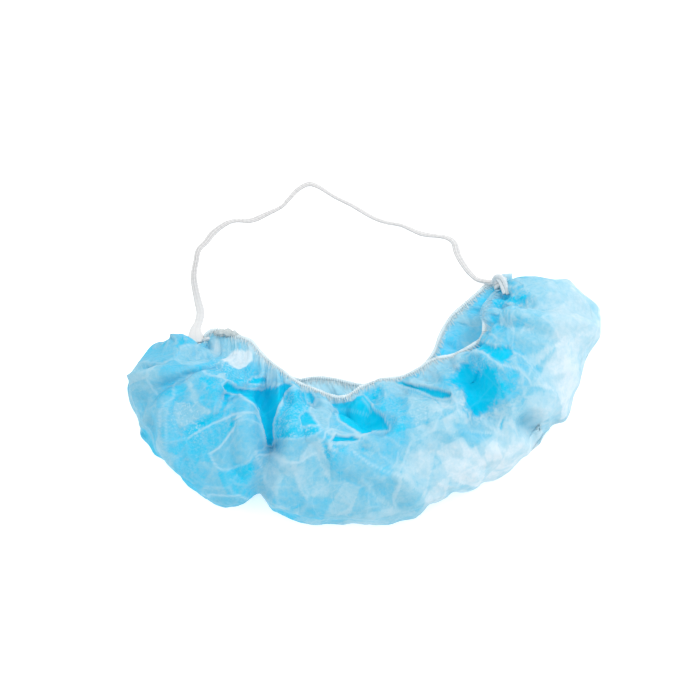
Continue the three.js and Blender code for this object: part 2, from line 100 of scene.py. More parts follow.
# Sections along the strip: place, rim x and y, edge x and y, rise, gap, setback, neck and bow,
# as shares of SECTION_SIZES below
SECTIONS = (
    (0.055, -0.311, 0.196, -0.385, 0.206, 0.40, 0.30, 0.15, 0.35, 1.30),
    (0.090, -0.295, 0.204, -0.442, 0.197, 0.62, 0.38, 0.20, 0.08, 1.30),
    (0.130, -0.276, 0.215, -0.495, 0.110, 0.80, 0.45, 0.25, 0.00, 1.10),
    (0.180, -0.253, 0.210, -0.502, -0.020, 0.92, 0.55, 0.30, 0.00, 0.80),
    (0.240, -0.227, 0.187, -0.455, -0.192, 0.95, 0.65, 0.35, 0.00, 0.30),
    (0.300, -0.198, 0.137, -0.384, -0.349, 0.90, 0.75, 0.40, 0.00, 0.00),
    (0.360, -0.168, 0.090, -0.287, -0.447, 0.92, 0.85, 0.50, 0.00, 0.00),
    (0.420, -0.134, 0.075, -0.187, -0.471, 0.96, 0.95, 0.80, 0.00, 0.00),
    (0.480, -0.071, 0.075, -0.081, -0.527, 1.00, 1.00, 1.15, 0.00, 0.00),
    (0.540, -0.003, 0.065, 0.031, -0.518, 0.96, 0.90, 0.75, 0.00, 0.00),
    (0.600, 0.060, 0.079, 0.141, -0.450, 0.92, 0.80, 0.35, 0.00, 0.00),
    (0.660, 0.113, 0.125, 0.246, -0.366, 0.92, 0.85, 0.50, 0.00, 0.00),
    (0.720, 0.149, 0.198, 0.348, -0.232, 0.96, 0.95, 0.90, 0.00, 0.00),
    (0.780, 0.177, 0.299, 0.433, -0.087, 1.00, 1.15, 1.50, 0.00, -0.10),
    (0.830, 0.204, 0.356, 0.479, 0.153, 0.96, 1.10, 1.55, 0.00, -0.40),
    (0.870, 0.227, 0.387, 0.503, 0.322, 0.82, 0.80, 1.10, 0.00, -0.80),
    (0.910, 0.249, 0.402, 0.446, 0.448, 0.62, 0.50, 0.60, 0.08, -1.20),
    (0.945, 0.270, 0.408, 0.362, 0.440, 0.40, 0.30, 0.25, 0.35, -1.30),
)

# A section's line over the pouch: place, share of its width, share of its rise, share of the gap
PROFILE = np.array((
    (0.00, 0.00, 0.00, 0.00),
    (0.12, 0.20, 0.00, 0.00),
    (0.26, 0.52, 0.00, 0.00),
    (0.38, 0.84, 0.05, 0.00),
    (0.47, 0.99, 0.28, 0.00),
    (0.54, 0.98, 0.54, 0.00),
    (0.64, 0.80, 0.85, 0.00),
    (0.76, 0.50, 1.00, 0.00),
    (0.86, 0.27, 0.70, 0.28),
    (0.94, 0.09, 0.16, 0.82),
    (1.00, 0.00, 0.00, 1.00),
))

# Broad valleys, and ridges below zero: from u, v to u, v, width in depths, depth in fold depths
FOLDS = (
    (0.345, 0.94, 0.398, 0.74, 0.085, 1.00),
    (0.290, 0.81, 0.345, 0.92, 0.065, 0.45),
    (0.400, 0.72, 0.398, 0.46, 0.065, 0.80),
    (0.325, 0.84, 0.370, 0.68, 0.065, -0.38),
    (0.425, 0.92, 0.430, 0.70, 0.065, -0.45),
    (0.455, 0.80, 0.500, 0.70, 0.065, -0.30),
    (0.505, 0.93, 0.555, 0.82, 0.090, 0.90),
    (0.500, 0.72, 0.575, 0.64, 0.065, -0.30),
    (0.575, 0.64, 0.613, 0.50, 0.065, -0.30),
    (0.620, 0.93, 0.672, 0.79, 0.065, 0.45),
    (0.715, 0.86, 0.700, 0.72, 0.110, 1.00),
    (0.685, 0.70, 0.702, 0.63, 0.065, 0.30),
    (0.138, 0.54, 0.175, 0.69, 0.065, -0.30),
    (0.225, 0.66, 0.280, 0.56, 0.065, -0.30),
    (0.190, 0.84, 0.205, 0.58, 0.065, 0.38),
    (0.110, 0.86, 0.100, 0.56, 0.065, 0.38),
    (0.788, 0.76, 0.800, 0.58, 0.065, 0.30),
    (0.835, 0.86, 0.840, 0.58, 0.070, -0.38),
    (0.880, 0.86, 0.865, 0.54, 0.065, 0.38),
    (0.238, 0.58, 0.238, 0.46, 0.065, 0.38),
    (0.600, 0.57, 0.600, 0.46, 0.065, 0.30),
    (0.640, 0.57, 0.640, 0.46, 0.065, 0.30),
    (0.676, 0.57, 0.676, 0.44, 0.065, 0.38),
    (0.736, 0.60, 0.738, 0.44, 0.065, 0.80),
    (0.778, 0.57, 0.775, 0.44, 0.065, 0.38),
    (0.826, 0.60, 0.826, 0.44, 0.065, 0.40),
)


def neck_rows(neck, ats):
    """A neck's sections in millimetres, from the loose tab at the strip's end to the pouch."""
    x, y, tab, mouth = neck

    def row(at, ring_y, width, share):
        half = mouth * width / 2
        return (at, x + half, ring_y, x - half, ring_y, NECK_HEIGHT, NECK_HEIGHT / 2, 0, share, 0)

    return [
        row(ats[0], y + NECK_LENGTH / 2 + tab * TAB_LENGTH, tab * TAB_WIDTH, TAB_SHARE),
        row(ats[1], y + NECK_LENGTH / 2, 2 * NECK_RADIUS, 1),
        row(ats[2], y - NECK_LENGTH / 2, 2 * NECK_RADIUS, 1),
    ]


SECTION_SIZES = (
    1, NET_LENGTH, NET_DEPTH, NET_LENGTH, NET_DEPTH, NET_HEIGHT, MOUTH_GAP, MOUTH_SETBACK, 1, 1,
)
ROWS = np.array(
    neck_rows(LEFT_NECK, NECK_ATS)
    + [tuple(value * size for value, size in zip(row, SECTION_SIZES)) for row in SECTIONS]
    + neck_rows(RIGHT_NECK, [1 - at for at in NECK_ATS])[::-1]
)


def table_at(table, at):
    """Smooth values of a table's columns between its rows, whose first column is the place."""
    knots = table[:, 0]
    secants = np.diff(table, axis=0) / np.diff(knots)[:, None]
    before, after = secants[:-1], secants[1:]
    same = before * after > 0
    inner = np.where(same, 2 * before * after / np.where(same, before + after, 1), 0)
    slopes = np.concatenate([secants[:1], inner, secants[-1:]])
    i = np.clip(np.searchsorted(knots, at) - 1, 0, len(knots) - 2)
    span = (knots[i + 1] - knots[i])[..., None]
    t = np.clip((at - knots[i])[..., None] / span, 0, 1)
    rise = table[i + 1] - table[i]
    bend = (1 - t) * (slopes[i] * span - rise) - t * (slopes[i + 1] * span - rise)
    return np.moveaxis(table[i] + t * rise + t * (1 - t) * bend, -1, 0)


def smooth_sheet(u, v):
    """The middle of the cloth without its folds, in millimetres."""
    _, rim_x, rim_y, edge_x, edge_y, rise, gap, setback, neck, bow = table_at(ROWS, u)
    _, out_share, up_share, hold = table_at(PROFILE, v)
    across_x, across_y = edge_x - rim_x, edge_y - rim_y
    width = np.hypot(across_x, across_y)
    across_x, across_y = across_x / width, across_y / width
    pouch_out = width * out_share + setback * hold
    pouch_up = CLOTH / 2 + rise * up_share + gap * hold
    turn = math.pi + NECK_SLOT / 2 + v * (2 * math.pi - NECK_SLOT)
    neck_out = width / 2 + NECK_RADIUS * np.cos(turn)
    neck_up = NECK_HEIGHT + NECK_RADIUS * np.sin(turn)
    neck = np.clip(neck, 0, 1)
    out = pouch_out + (neck_out - pouch_out) * neck
    up = pouch_up + (neck_up - pouch_up) * neck
    share = out / width
    aside = bow * (1 - neck) * share * (1 - share) ** 2 * width
    return np.stack([
        rim_x + across_x * out - across_y * aside,
        rim_y + across_y * out + across_x * aside,
        np.maximum(up, CLOTH / 2),
    ], -1)


def grid_normals(points):
    """Outward unit normals of a grid of points, columns along u and rows along v."""
    cross = np.cross(np.gradient(points, axis=0), np.gradient(points, axis=1))
    return cross / np.maximum(np.linalg.norm(cross, axis=-1, keepdims=True), 1e-9)


def segment_distance(p, a, b):
    """How far places on the sheet are from the straight line between two others."""
    line = b - a
    t = np.clip(((p - a) @ line) / max(line @ line, 1e-9), 0, 1)
    return np.linalg.norm(p - a - t[..., None] * line, axis=-1)


def in_sheet(u, v):
    """A place on the cloth in millimetres of its own run and girth."""
    return np.stack([np.asarray(u) * STRIP_RUN, np.asarray(v) * GIRTH], -1)


def fold_height(u, v):
    """How far the broad folds and gathers move the cloth outwards."""
    place = in_sheet(u, v)
    height = np.zeros(u.shape)
    for from_u, from_v, to_u, to_v, width, depth in FOLDS:
        away = segment_distance(place, in_sheet(from_u, from_v), in_sheet(to_u, to_v))
        near = np.clip(1 - (away / (width * NET_DEPTH)) ** 2, 0, 1)
        height -= depth * FOLD_DEPTH * near ** 2
    from_rim = np.clip(np.minimum(v, 1 - v) * GIRTH / GATHER_REACH, 0, 1)
    swell = 16 * from_rim ** 2 * (1 - from_rim) ** 2
    height = height * from_rim + GATHER_DEPTH * swell * np.cos(2 * math.pi * GATHERS * u)
    return height * (1 - np.clip(2 * table_at(ROWS, u)[8], 0, 1))


def folded_sheet(columns, rows):
    """The cloth's middle with its broad folds on a grid, and the grid's u and v."""
    u, v = np.meshgrid(np.linspace(0, 1, columns), np.linspace(0, 1, rows), indexing="ij")
    points = smooth_sheet(u, v)
    points += grid_normals(points) * fold_height(u, v)[..., None]
    points[..., 2] = np.maximum(points[..., 2], CLOTH / 2)
    return points, u, v


# What shows on the cloth

# Places on the front of the cloth are read off the photograph, in its own pixels across and down.
# The frame's origin falls on PHOTO_ORIGIN. A tone says how much red the cloth sends back, from 0 for deep
# cyan to 1 for white, and holds painted light and shade besides the cloth's own blue.
PIXEL = 0.55
PHOTO_ORIGIN = (363.5, 400)

# Pockets between folds, their deep cyan painted shade and light taken through stacked layers: depth, wall's
# width, how blue, how far the blue takes to set in, corners
HOLLOWS = (
    (1.3, 7, 1.0, 1.0, (
        (222, 387), (229, 382), (237, 389), (250, 390), (262, 389), (275, 388), (283, 384),
        (290, 386), (293, 388), (286, 393), (282, 400), (279, 410), (276, 424), (275, 437),
        (271, 443), (266, 443), (263, 430), (260, 420), (258, 410), (253, 404), (247, 400),
        (241, 395), (232, 394), (226, 392),
    )),
    (1.2, 3, 0.8, 1.2, ((249, 383), (253, 376), (258, 378), (266, 377), (268, 381), (258, 383))),
    (0.8, 3, 0.7, 2, ((223, 396), (228, 394), (231, 398), (229, 404), (225, 403))),
    (0.8, 3, 0.7, 2, ((235, 380), (240, 378), (244, 381), (242, 385), (236, 384))),
    (0.6, 4, 0.55, 3, ((205, 380), (214, 379), (215, 386), (208, 387))),
    (1.0, 3, 0.9, 1.2, ((306, 394), (311, 391), (315, 397), (314, 404), (309, 402))),
    (0.6, 3, 0.8, 1.5, ((295, 387), (298, 385), (300, 388), (297, 389))),
    (0.8, 3, 0.8, 1.2, ((300, 418), (306, 412), (311, 414), (314, 420), (317, 425), (301, 425))),
    (0.6, 3, 0.6, 2, ((285, 433), (290, 431), (290, 438), (286, 438))),
    (2.4, 5, 1.0, 1.0, (
        (331, 404), (341, 402), (350, 400), (356, 397), (363, 397), (368, 403), (372, 409),
        (376, 413), (383, 418), (388, 425), (388, 430), (381, 431), (372, 430), (366, 434),
        (361, 434), (354, 429), (347, 424), (341, 420), (338, 414), (337, 408),
    )),
    (1.0, 4, 0.6, 4, (
        (363, 398), (366, 392), (374, 390), (383, 388), (384, 392), (381, 398), (376, 403), (370, 404),
    )),
    (1.0, 2, 1.0, 1.0, (
        (333, 441), (336, 436), (345, 438), (352, 437), (359, 438), (352, 441), (343, 442),
    )),
    (0.8, 3, 0.65, 2, ((323, 443), (327, 446), (331, 452), (330, 456), (325, 452))),
    (0.6, 3, 0.5, 2.5, ((362, 449), (367, 448), (369, 453), (364, 454))),
    (1.6, 2.5, 1.0, 0.8, (
        (396, 381), (403, 382), (410, 384), (418, 387), (428, 389), (437, 390), (446, 392),
        (452, 394), (449, 397), (441, 398), (434, 397), (428, 394), (418, 390), (408, 386), (399, 383),
    )),
    (2.6, 8, 1.0, 4, (
        (453, 380), (457, 373), (462, 366), (467, 366), (472, 372), (479, 374), (484, 367),
        (491, 370), (495, 378), (498, 388), (494, 398), (489, 408), (481, 411), (478, 417),
        (469, 417), (467, 407), (465, 397), (462, 389), (457, 385),
    )),
    (0.8, 5, 0.55, 9, ((492, 368), (505, 378), (512, 392), (502, 404), (490, 410), (490, 390))),
    (1.4, 4, 0.9, 3, (
        (476, 348), (484, 343), (490, 349), (500, 350), (510, 347), (512, 355), (508, 361),
        (498, 361), (490, 357), (483, 352),
    )),
    (0.8, 4, 0.55, 3, ((492, 314), (500, 316), (502, 326), (498, 328), (493, 322))),
    (0.8, 4, 0.5, 4, ((514, 286), (521, 288), (521, 294), (514, 294))),
    (1.0, 3, 0.8, 3, (
        (489, 306), (496, 299), (508, 296), (520, 295), (527, 297), (522, 302), (510, 304), (500, 307),
    )),
    (0.6, 5, 0.35, 5, ((513, 318), (525, 320), (525, 328), (514, 328))),
    (0.8, 2, 0.6, 1.2, ((500, 430), (499, 424), (500, 418), (504, 415), (502, 422), (502, 429))),
    (1.0, 4, 0.35, 2, (
        (229, 469), (238, 464), (250, 462), (256, 463), (251, 471), (247, 482), (242, 478), (236, 473),
    )),
    (0.8, 4, 0.55, 3, (
        (188, 436), (190, 428), (200, 424), (212, 419), (224, 412), (230, 412), (222, 420),
        (208, 427), (198, 436), (190, 440),
    )),
    (0.6, 4, 0.5, 3, ((219, 416), (222, 406), (226, 400), (228, 404), (226, 412))),
    (0.6, 3, 0.6, 2, ((233, 422), (238, 422), (237, 428), (234, 428))),
    (0.8, 3, 0.75, 2.5, ((178, 346), (180, 337), (184, 336), (186, 343), (182, 346))),
)

# Flat panels of the crumpled cloth, whose flat tones hold painted light and shade: tone, how far it takes
# to set in, how bright the painted highlight on its outline is, how clumped its fibres are, how much
# painted shade greys it, and its corners
PANELS = (
    (0.10, 0.9, 0.6, 0.8, 0.1, (
        (277, 425), (278, 413), (282, 403), (288, 394), (297, 390), (305, 392), (309, 398),
        (311, 406), (310, 412), (313, 418), (318, 425), (322, 432), (300, 438), (276, 438),
    )),
    (0.46, 2.0, 0.1, 0.1, 0.4, (
        (275, 438), (290, 438), (305, 437), (319, 439), (309, 446), (299, 454), (288, 455),
        (280, 453), (276, 448),
    )),
    (0.60, 0.8, 0.6, 0.0, 0.0, (
        (311, 408), (314, 403), (318, 399), (326, 402), (332, 408), (331, 412), (329, 418),
        (328, 426), (326, 430), (323, 430), (318, 424), (314, 418), (311, 412),
    )),
    (0.42, 0.8, 0.6, 0.1, 0.1, (
        (332, 409), (337, 409), (338, 416), (343, 423), (350, 429), (357, 434), (348, 434),
        (338, 431), (332, 429), (328, 430), (329, 418),
    )),
    (0.72, 1.5, 0.0, 0.0, 0.0, (
        (298, 456), (305, 449), (313, 441), (320, 440), (323, 446), (322, 450), (312, 451), (302, 455),
    )),
    (0.46, 1.0, 0.5, 0.0, 0.2, (
        (213, 452), (222, 447), (230, 438), (237, 430), (238, 423), (246, 420), (258, 424),
        (262, 436), (264, 449), (254, 450), (250, 461), (240, 465), (228, 468), (220, 467), (215, 461),
    )),
    (0.33, 2.0, 0.1, 0.1, 0.0, (
        (204, 430), (214, 424), (226, 420), (236, 421), (236, 430), (229, 438), (221, 446), (212, 450),
    )),
    (0.36, 2.0, 0.3, 0.0, 0.0, (
        (232, 396), (241, 396), (248, 401), (254, 406), (256, 412), (246, 414), (234, 415), (226, 418),
    )),
    (0.60, 2.5, 0.0, 0.7, 0.1, (
        (176, 402), (190, 403), (200, 408), (206, 415), (200, 420), (188, 424), (180, 428), (174, 415),
    )),
    (0.64, 2.0, 0.0, 0.2, 0.0, (
        (187, 373), (192, 372), (195, 388), (199, 400), (207, 408), (214, 412), (208, 416),
        (198, 408), (190, 398),
    )),
    (0.66, 1.5, 0.0, 0.0, 0.2, ((263, 465), (268, 466), (269, 483), (266, 484))),
    (0.70, 0.9, 0.2, 0.0, 0.0, ((272, 383), (276, 381), (280, 385), (277, 393), (274, 389))),
    (1.10, 1.0, 0.3, 0.0, 0.0, (
        (222, 361), (231, 354), (238, 349), (248, 349), (252, 353), (252, 360), (248, 365), (242, 368),
        (234, 366), (227, 363),
    )),
    (0.38, 1.2, 0.1, 0.0, 0.5, (
        (134, 363), (142, 359), (149, 349), (160, 347), (170, 347), (176, 354), (175, 363), (155, 362),
    )),
    (0.58, 1.5, 0.4, 0.1, 0.0, (
        (181, 350), (190, 346), (199, 346), (206, 352), (209, 360), (200, 366), (184, 364), (176, 360),
    )),
    (0.33, 0.8, 0.4, 0.0, 0.8, (
        (203, 491), (216, 494), (229, 494), (240, 493), (247, 496), (253, 499), (244, 506),
        (228, 510), (212, 508),
    )),
    (0.30, 5.0, 0.0, 0.0, 0.2, (
        (176, 460), (200, 458), (206, 470), (204, 486), (194, 490), (182, 480), (176, 468),
    )),
    (0.12, 0.9, 0.3, 0.0, 0.5, (
        (143, 427), (148, 432), (153, 441), (157, 452), (161, 460), (152, 458), (143, 447), (136, 438),
    )),
    (0.58, 1.0, 0.3, 0.0, 0.4, (
        (466, 421), (468, 418), (478, 418), (484, 422), (490, 428), (497, 433), (484, 432), (470, 431),
    )),
    (0.47, 2.0, 0.0, 0.0, 0.0, (
        (455, 425), (465, 425), (470, 433), (484, 434), (496, 434), (485, 441), (474, 444),
        (468, 448), (460, 436),
    )),
    (0.66, 1.5, 0.2, 0.0, 0.2, ((481, 415), (490, 411), (498, 414), (498, 430), (490, 427), (483, 420))),
    (0.62, 3.0, 0.0, 0.9, 0.0, (
        (408, 394), (420, 395), (428, 400), (430, 412), (424, 420), (414, 424), (410, 412), (406, 402),
    )),
    (0.42, 4.0, 0.0, 0.4, 0.0, (
        (384, 402), (398, 399), (407, 403), (409, 415), (404, 424), (392, 424), (387, 414),
    )),
    (0.48, 0.9, 0.4, 0.0, 0.1, (
        (345, 449), (353, 445), (361, 440), (369, 434), (378, 432), (392, 438), (404, 448),
        (392, 466), (380, 467), (366, 461), (354, 452),
    )),
    (0.50, 3.0, 0.0, 0.0, 0.3, (
        (340, 452), (352, 454), (362, 462), (378, 471), (398, 478), (392, 492), (366, 488), (344, 476),
    )),
    (0.40, 4.0, 0.0, 0.0, 0.3, ((300, 500), (318, 496), (334, 498), (328, 512), (312, 520), (300, 516))),
    (0.84, 1.0, 0.2, 0.0, 0.2, (
        (549, 311), (566, 306), (586, 305), (592, 312), (592, 326), (585, 333), (572, 333), (560, 338),
    )),
    (0.62, 2.0, 0.1, 0.0, 0.0, (
        (514, 282), (530, 278), (546, 276), (548, 288), (540, 306), (530, 312), (518, 306),
    )),
    (0.60, 1.5, 0.2, 0.3, 0.0, (
        (371, 386), (380, 380), (392, 380), (404, 386), (412, 392), (404, 398), (394, 392), (386, 396),
        (382, 388),
    )),
)

# Creases between them: height of the ridge, how bright its pale line is, partly the doubled cloth and
# partly painted highlight, and the points that it runs through
CREASES = (
    (1.8, 1.0, (
        (241, 395), (248, 400), (255, 405), (258, 411), (260, 421), (262, 431), (264, 440), (264, 449),
    )),
    (1.8, 1.0, ((296, 388), (287, 392), (283, 399), (280, 408), (277, 420), (276, 437), (277, 452))),
    (1.5, 0.8, ((190, 438), (202, 431), (214, 424), (226, 419), (240, 414), (252, 413))),
    (1.8, 1.0, ((212, 453), (222, 447), (230, 438), (237, 430), (238, 423))),
    (1.4, 0.7, ((212, 453), (215, 461), (220, 467), (229, 469), (240, 465))),
    (2.0, 1.0, ((254, 450), (262, 455), (275, 456), (290, 460), (299, 460), (308, 456), (316, 451))),
    (1.6, 0.8, ((254, 450), (258, 458), (261, 467))),
    (1.6, 0.9, (
        (323, 440), (325, 433), (332, 430), (334, 433), (333, 438), (328, 441), (333, 448), (337, 451),
    )),
    (1.2, 0.9, ((333, 433), (345, 436), (355, 435), (364, 435))),
    (1.2, 0.8, ((336, 443), (347, 444), (357, 440))),
    (1.2, 0.4, ((331, 408), (340, 409), (352, 411), (362, 414), (368, 415))),
    (1.2, 0.6, ((362, 399), (367, 405), (371, 412))),
    (1.8, 0.7, ((351, 451), (360, 457), (368, 463), (380, 469), (392, 473), (401, 477))),
    (1.2, 0.6, ((391, 468), (396, 461), (398, 452))),
    (1.4, 0.7, ((400, 470), (403, 460), (408, 450), (410, 443))),
    (1.6, 0.7, ((203, 372), (215, 378), (228, 382), (238, 389))),
    (1.4, 0.7, ((182, 348), (190, 346), (199, 346))),
    (1.4, 0.6, ((163, 426), (162, 413), (166, 404), (174, 397), (176, 388), (178, 383))),
    (1.4, 0.5, ((168, 450), (168, 436), (167, 424), (168, 412), (170, 402))),
    (1.0, 0.5, ((134, 364), (148, 363), (166, 364), (174, 360))),
    (1.2, 0.5, ((150, 377), (154, 387), (160, 396))),
    (1.4, 0.7, ((205, 492), (229, 494), (240, 493), (252, 499))),
    (1.4, 0.6, ((440, 402), (441, 412), (437, 420), (433, 430))),
    (1.4, 0.9, ((452, 396), (456, 403), (458, 411), (463, 416))),
    (1.2, 0.5, ((441, 402), (449, 406))),
    (1.6, 0.6, ((396, 384), (410, 388), (424, 394), (434, 398), (448, 400))),
    (1.6, 0.9, (
        (470, 354), (480, 353), (487, 356), (492, 361), (500, 365), (508, 367), (518, 371), (526, 378),
        (530, 384),
    )),
    (1.2, 0.5, ((512, 352), (520, 357), (525, 364), (530, 369), (538, 375))),
    (1.4, 0.7, ((482, 310), (487, 316), (491, 320))),
    (1.4, 0.6, ((484, 322), (490, 333), (497, 340))),
    (1.0, 0.4, ((513, 300), (511, 318), (513, 334), (511, 348))),
    (1.0, 0.4, ((508, 312), (507, 326), (508, 340))),
    (-1.2, 0.0, ((559, 340), (572, 334), (586, 334), (592, 327), (600, 320))),
    (1.2, 0.3, ((478, 456), (484, 448), (496, 443), (512, 438))),
    (1.2, 0.3, ((484, 460), (500, 458), (514, 452), (526, 444))),
    (1.0, 0.4, ((468, 431), (482, 433), (497, 433))),
    (1.0, 0.5, ((468, 418), (478, 417), (486, 424), (497, 433))),
    (1.4, 0.4, ((300, 486), (306, 494), (309, 502))),
    (1.2, 0.3, ((330, 482), (345, 480), (360, 486), (372, 480))),
    (-3.0, 0.0, ((336, 404), (350, 402), (362, 400))),
)

# The facets between the creases: how far apart their corners lie, how high they rise, and a seed
FACETS = ((17, 2.0, 11), (8, 0.9, 12), (4.2, 0.35, 13))
FACET_LEVELS = (-1, 0.8)
JITTER = 0.38
CLEARANCE = 0.55
# A facet's edge gets a painted highlight along its ridge from this turn on, in full from the next, this
# wide
RIDGE_FROM = 0.05
RIDGE_FULL = 0.35
RIDGE_WIDTH = 0.6
RIDGE_REACH = 3
RIDGE_SHARE = 0.35

# The cloth's tone at places between the panels, and on the far side seen through the mouth, with painted
# light and shade in it
TONES = (
    (133, 390, 0.55), (145, 412, 0.53), (150, 445, 0.50), (155, 375, 0.57), (160, 352, 0.36),
    (172, 342, 0.42), (190, 372, 0.45), (222, 345, 0.56), (245, 345, 0.62), (215, 366, 0.40),
    (240, 374, 0.40), (172, 384, 0.34), (182, 440, 0.46), (215, 396, 0.42), (222, 440, 0.34),
    (248, 430, 0.48), (182, 455, 0.48), (206, 462, 0.42), (192, 476, 0.32), (216, 482, 0.36),
    (244, 486, 0.30), (262, 484, 0.56), (278, 478, 0.68), (296, 472, 0.64), (288, 500, 0.44),
    (312, 470, 0.60), (326, 486, 0.61), (346, 465, 0.40), (345, 500, 0.56), (370, 512, 0.62),
    (372, 480, 0.42), (402, 436, 0.38), (392, 424, 0.30), (422, 384, 0.52), (420, 436, 0.62),
    (430, 456, 0.77), (418, 482, 0.70), (404, 506, 0.66), (442, 494, 0.80), (452, 420, 0.62),
    (460, 460, 0.82), (490, 470, 0.88), (510, 448, 0.88), (520, 410, 0.64), (505, 425, 0.70),
    (540, 410, 0.82), (562, 398, 0.90), (556, 365, 0.88), (572, 345, 0.88), (545, 350, 0.74),
    (592, 320, 0.84), (580, 296, 0.82), (556, 290, 0.74), (530, 325, 0.62), (526, 350, 0.53),
    (540, 380, 0.60), (516, 384, 0.44), (442, 376, 0.42), (432, 366, 0.62), (456, 362, 0.62),
    (480, 362, 0.40), (496, 340, 0.46), (505, 285, 0.55),
)
FAR_TONES = ((330, 386, 0.76), (352, 388, 0.70), (462, 330, 0.46), (450, 350, 0.34), (484, 298, 0.34))
TONE_REACH = 13
USUAL_TONE = 0.55
USUAL_WEIGHT = 0.01
FACET_TONE = 0.12
CLOUD_TONE = 0.025
# Painted light on the relief's humps and painted shade in its dips
HUMP_LIGHT_AND_SHADE = 0.05
HUMP_LIMIT = 1.5
HUMP_SOFTENINGS = 40
# Chance clouds over the cloth: size, seed and octaves
CLOUD_FADE = 0.6
TONE_CLOUDS = (12, 21, 3)
LINE_MASK_CLOUDS = (34, 22, 2)
STRAY_CLOUDS = ((8, 31, 3), (8, 32, 3))
STRAY_LIMIT = 2.5
LINE_STRAY = 0.8

# Soft spots, their reach and strength: painted light, painted shade that greys the cloth, and with the
# fibres in clumps
PAINTED_LIGHT_SPOTS = (
    (217, 346, 7, 0.6), (262, 360, 8, 0.5), (272, 375, 6, 0.5), (252, 348, 7, 0.4), (430, 366, 10, 0.3),
)
# Where painted shade greys the cloth
PAINTED_SHADE_SPOTS = (
    (138, 390, 22, 0.8), (150, 425, 20, 0.6), (160, 355, 14, 0.7), (300, 446, 12, 0.4),
    (350, 505, 30, 0.5), (400, 510, 24, 0.5), (225, 500, 18, 0.5), (468, 326, 18, 0.6),
    (340, 386, 16, 0.3), (576, 310, 18, 0.2),
)
CLUMPED_SPOTS = (
    (225, 366, 12, 0.9), (245, 378, 8, 0.7), (196, 428, 12, 0.8), (178, 420, 10, 0.6),
    (418, 405, 16, 0.8), (380, 394, 10, 0.5), (436, 408, 10, 0.5), (355, 452, 8, 0.5),
    (330, 448, 10, 0.6), (478, 360, 10, 0.6), (500, 305, 10, 0.5), (256, 382, 10, 0.6),
)

# The ways that the cloth's two edges take
FRONT_EDGE = (
    (205, 342), (206, 336), (211, 332), (219, 331.5), (227, 334), (236, 337), (244, 339), (251, 342),
    (257, 349), (263, 356), (271, 363), (281, 370), (292, 378.5), (300, 384), (310, 388), (320, 392),
    (330, 396), (340, 398), (349, 396),
    (356, 391), (362, 387), (370, 384), (380, 380), (392, 379), (403, 377), (412, 373), (421, 368),
    (428, 363), (437, 359), (452, 356), (463, 351), (474, 345), (481, 339), (484, 332), (484, 324),
    (482, 316), (484, 308), (490, 300), (496, 293), (500, 287),
)
BACK_EDGE = (
    (205, 341), (206, 335), (211, 331), (219, 331), (227, 333.5), (236, 336.5), (244, 339), (251, 342),
    (257, 349), (263, 356), (270, 363), (280, 371), (292, 379), (300, 381), (312, 379), (325, 379),
    (338, 381), (350, 384), (360, 386), (368, 386), (380, 382), (392, 380), (403, 378), (412, 374),
    (421, 369), (429, 361), (435, 352), (438, 344), (441, 336), (445, 328), (450, 320), (456, 313),
    (463, 307), (470, 301), (478, 294), (486, 287), (494, 284.5), (500, 283),
)
EDGE_REACH = 9
EDGE_HELD = 0.02
EDGE_SETTING = 0.04
EDGE_SPAN = (0.035, 0.965)

# The cloth's end beyond the right knot lies flat between these corners
RIGHT_TAB = ((500, 283), (502, 273.5), (512.5, 273), (513, 283))
TAB_FROM = 0.976
TAB_TONE = 0.86
TAB_SETTING = 0.35
# From where on across the strip the cloth is crumpled, and takes what the photograph shows
UPPER_FROM = 0.30
UPPER_SETTING = 0.08
FRONT_FROM = 0.40
FRONT_SETTING = 0.04
OUTLINE_MARGIN = 20
PANEL_SHARE = 0.85
LINE_WIDTH = 0.6
# The raised lip round a pocket that sets in sharply, the share of the crumples that the lower side
# keeps, and the share that the pockets lose
LIP_OFFSET = 0.7
LIP_WIDTH = 0.6
LIP_HEIGHT = 0.4
LIP_SETTING = 1.5
# The lip's pale line is a painted highlight
LIP_LIGHT = 0.8
LOWER_RELIEF = 0.15
POCKET_CALM = 0.7
# How much of their painted highlight the ridges and the drawn creases lose in a blue pocket
RIDGE_DIMMED = 0.8
LINE_DIMMED = 0.4
# How far from the rim the cloth gets loose, and how far its pale edge reaches
RIM_LOOSE = 9
RIM_PALE = 3.2
# Up to this place along the strip the cloth that reaches beyond the left knot is drawn in, by a share
LEFT_END = 0.04
LEFT_END_MARGIN = 1
LEFT_END_DRAWN = 0.9
LOWEST = 0.3

# The pleats at the rim: height, run for each radian and phase of the waves that shape them
PLEAT_HEIGHT = 0.30
PLEAT_WANDER = ((3, 23, 0), (2, 9.1, 1))
PLEAT_PITCHES = (5.3, 3.1)
PLEAT_SHARE = 0.6
PLEAT_REACH = 8
PLEAT_REACH_WAVES = ((5, 11.3, 0), (3, 4.7, 2))
PLEAT_SETTING = 1.5

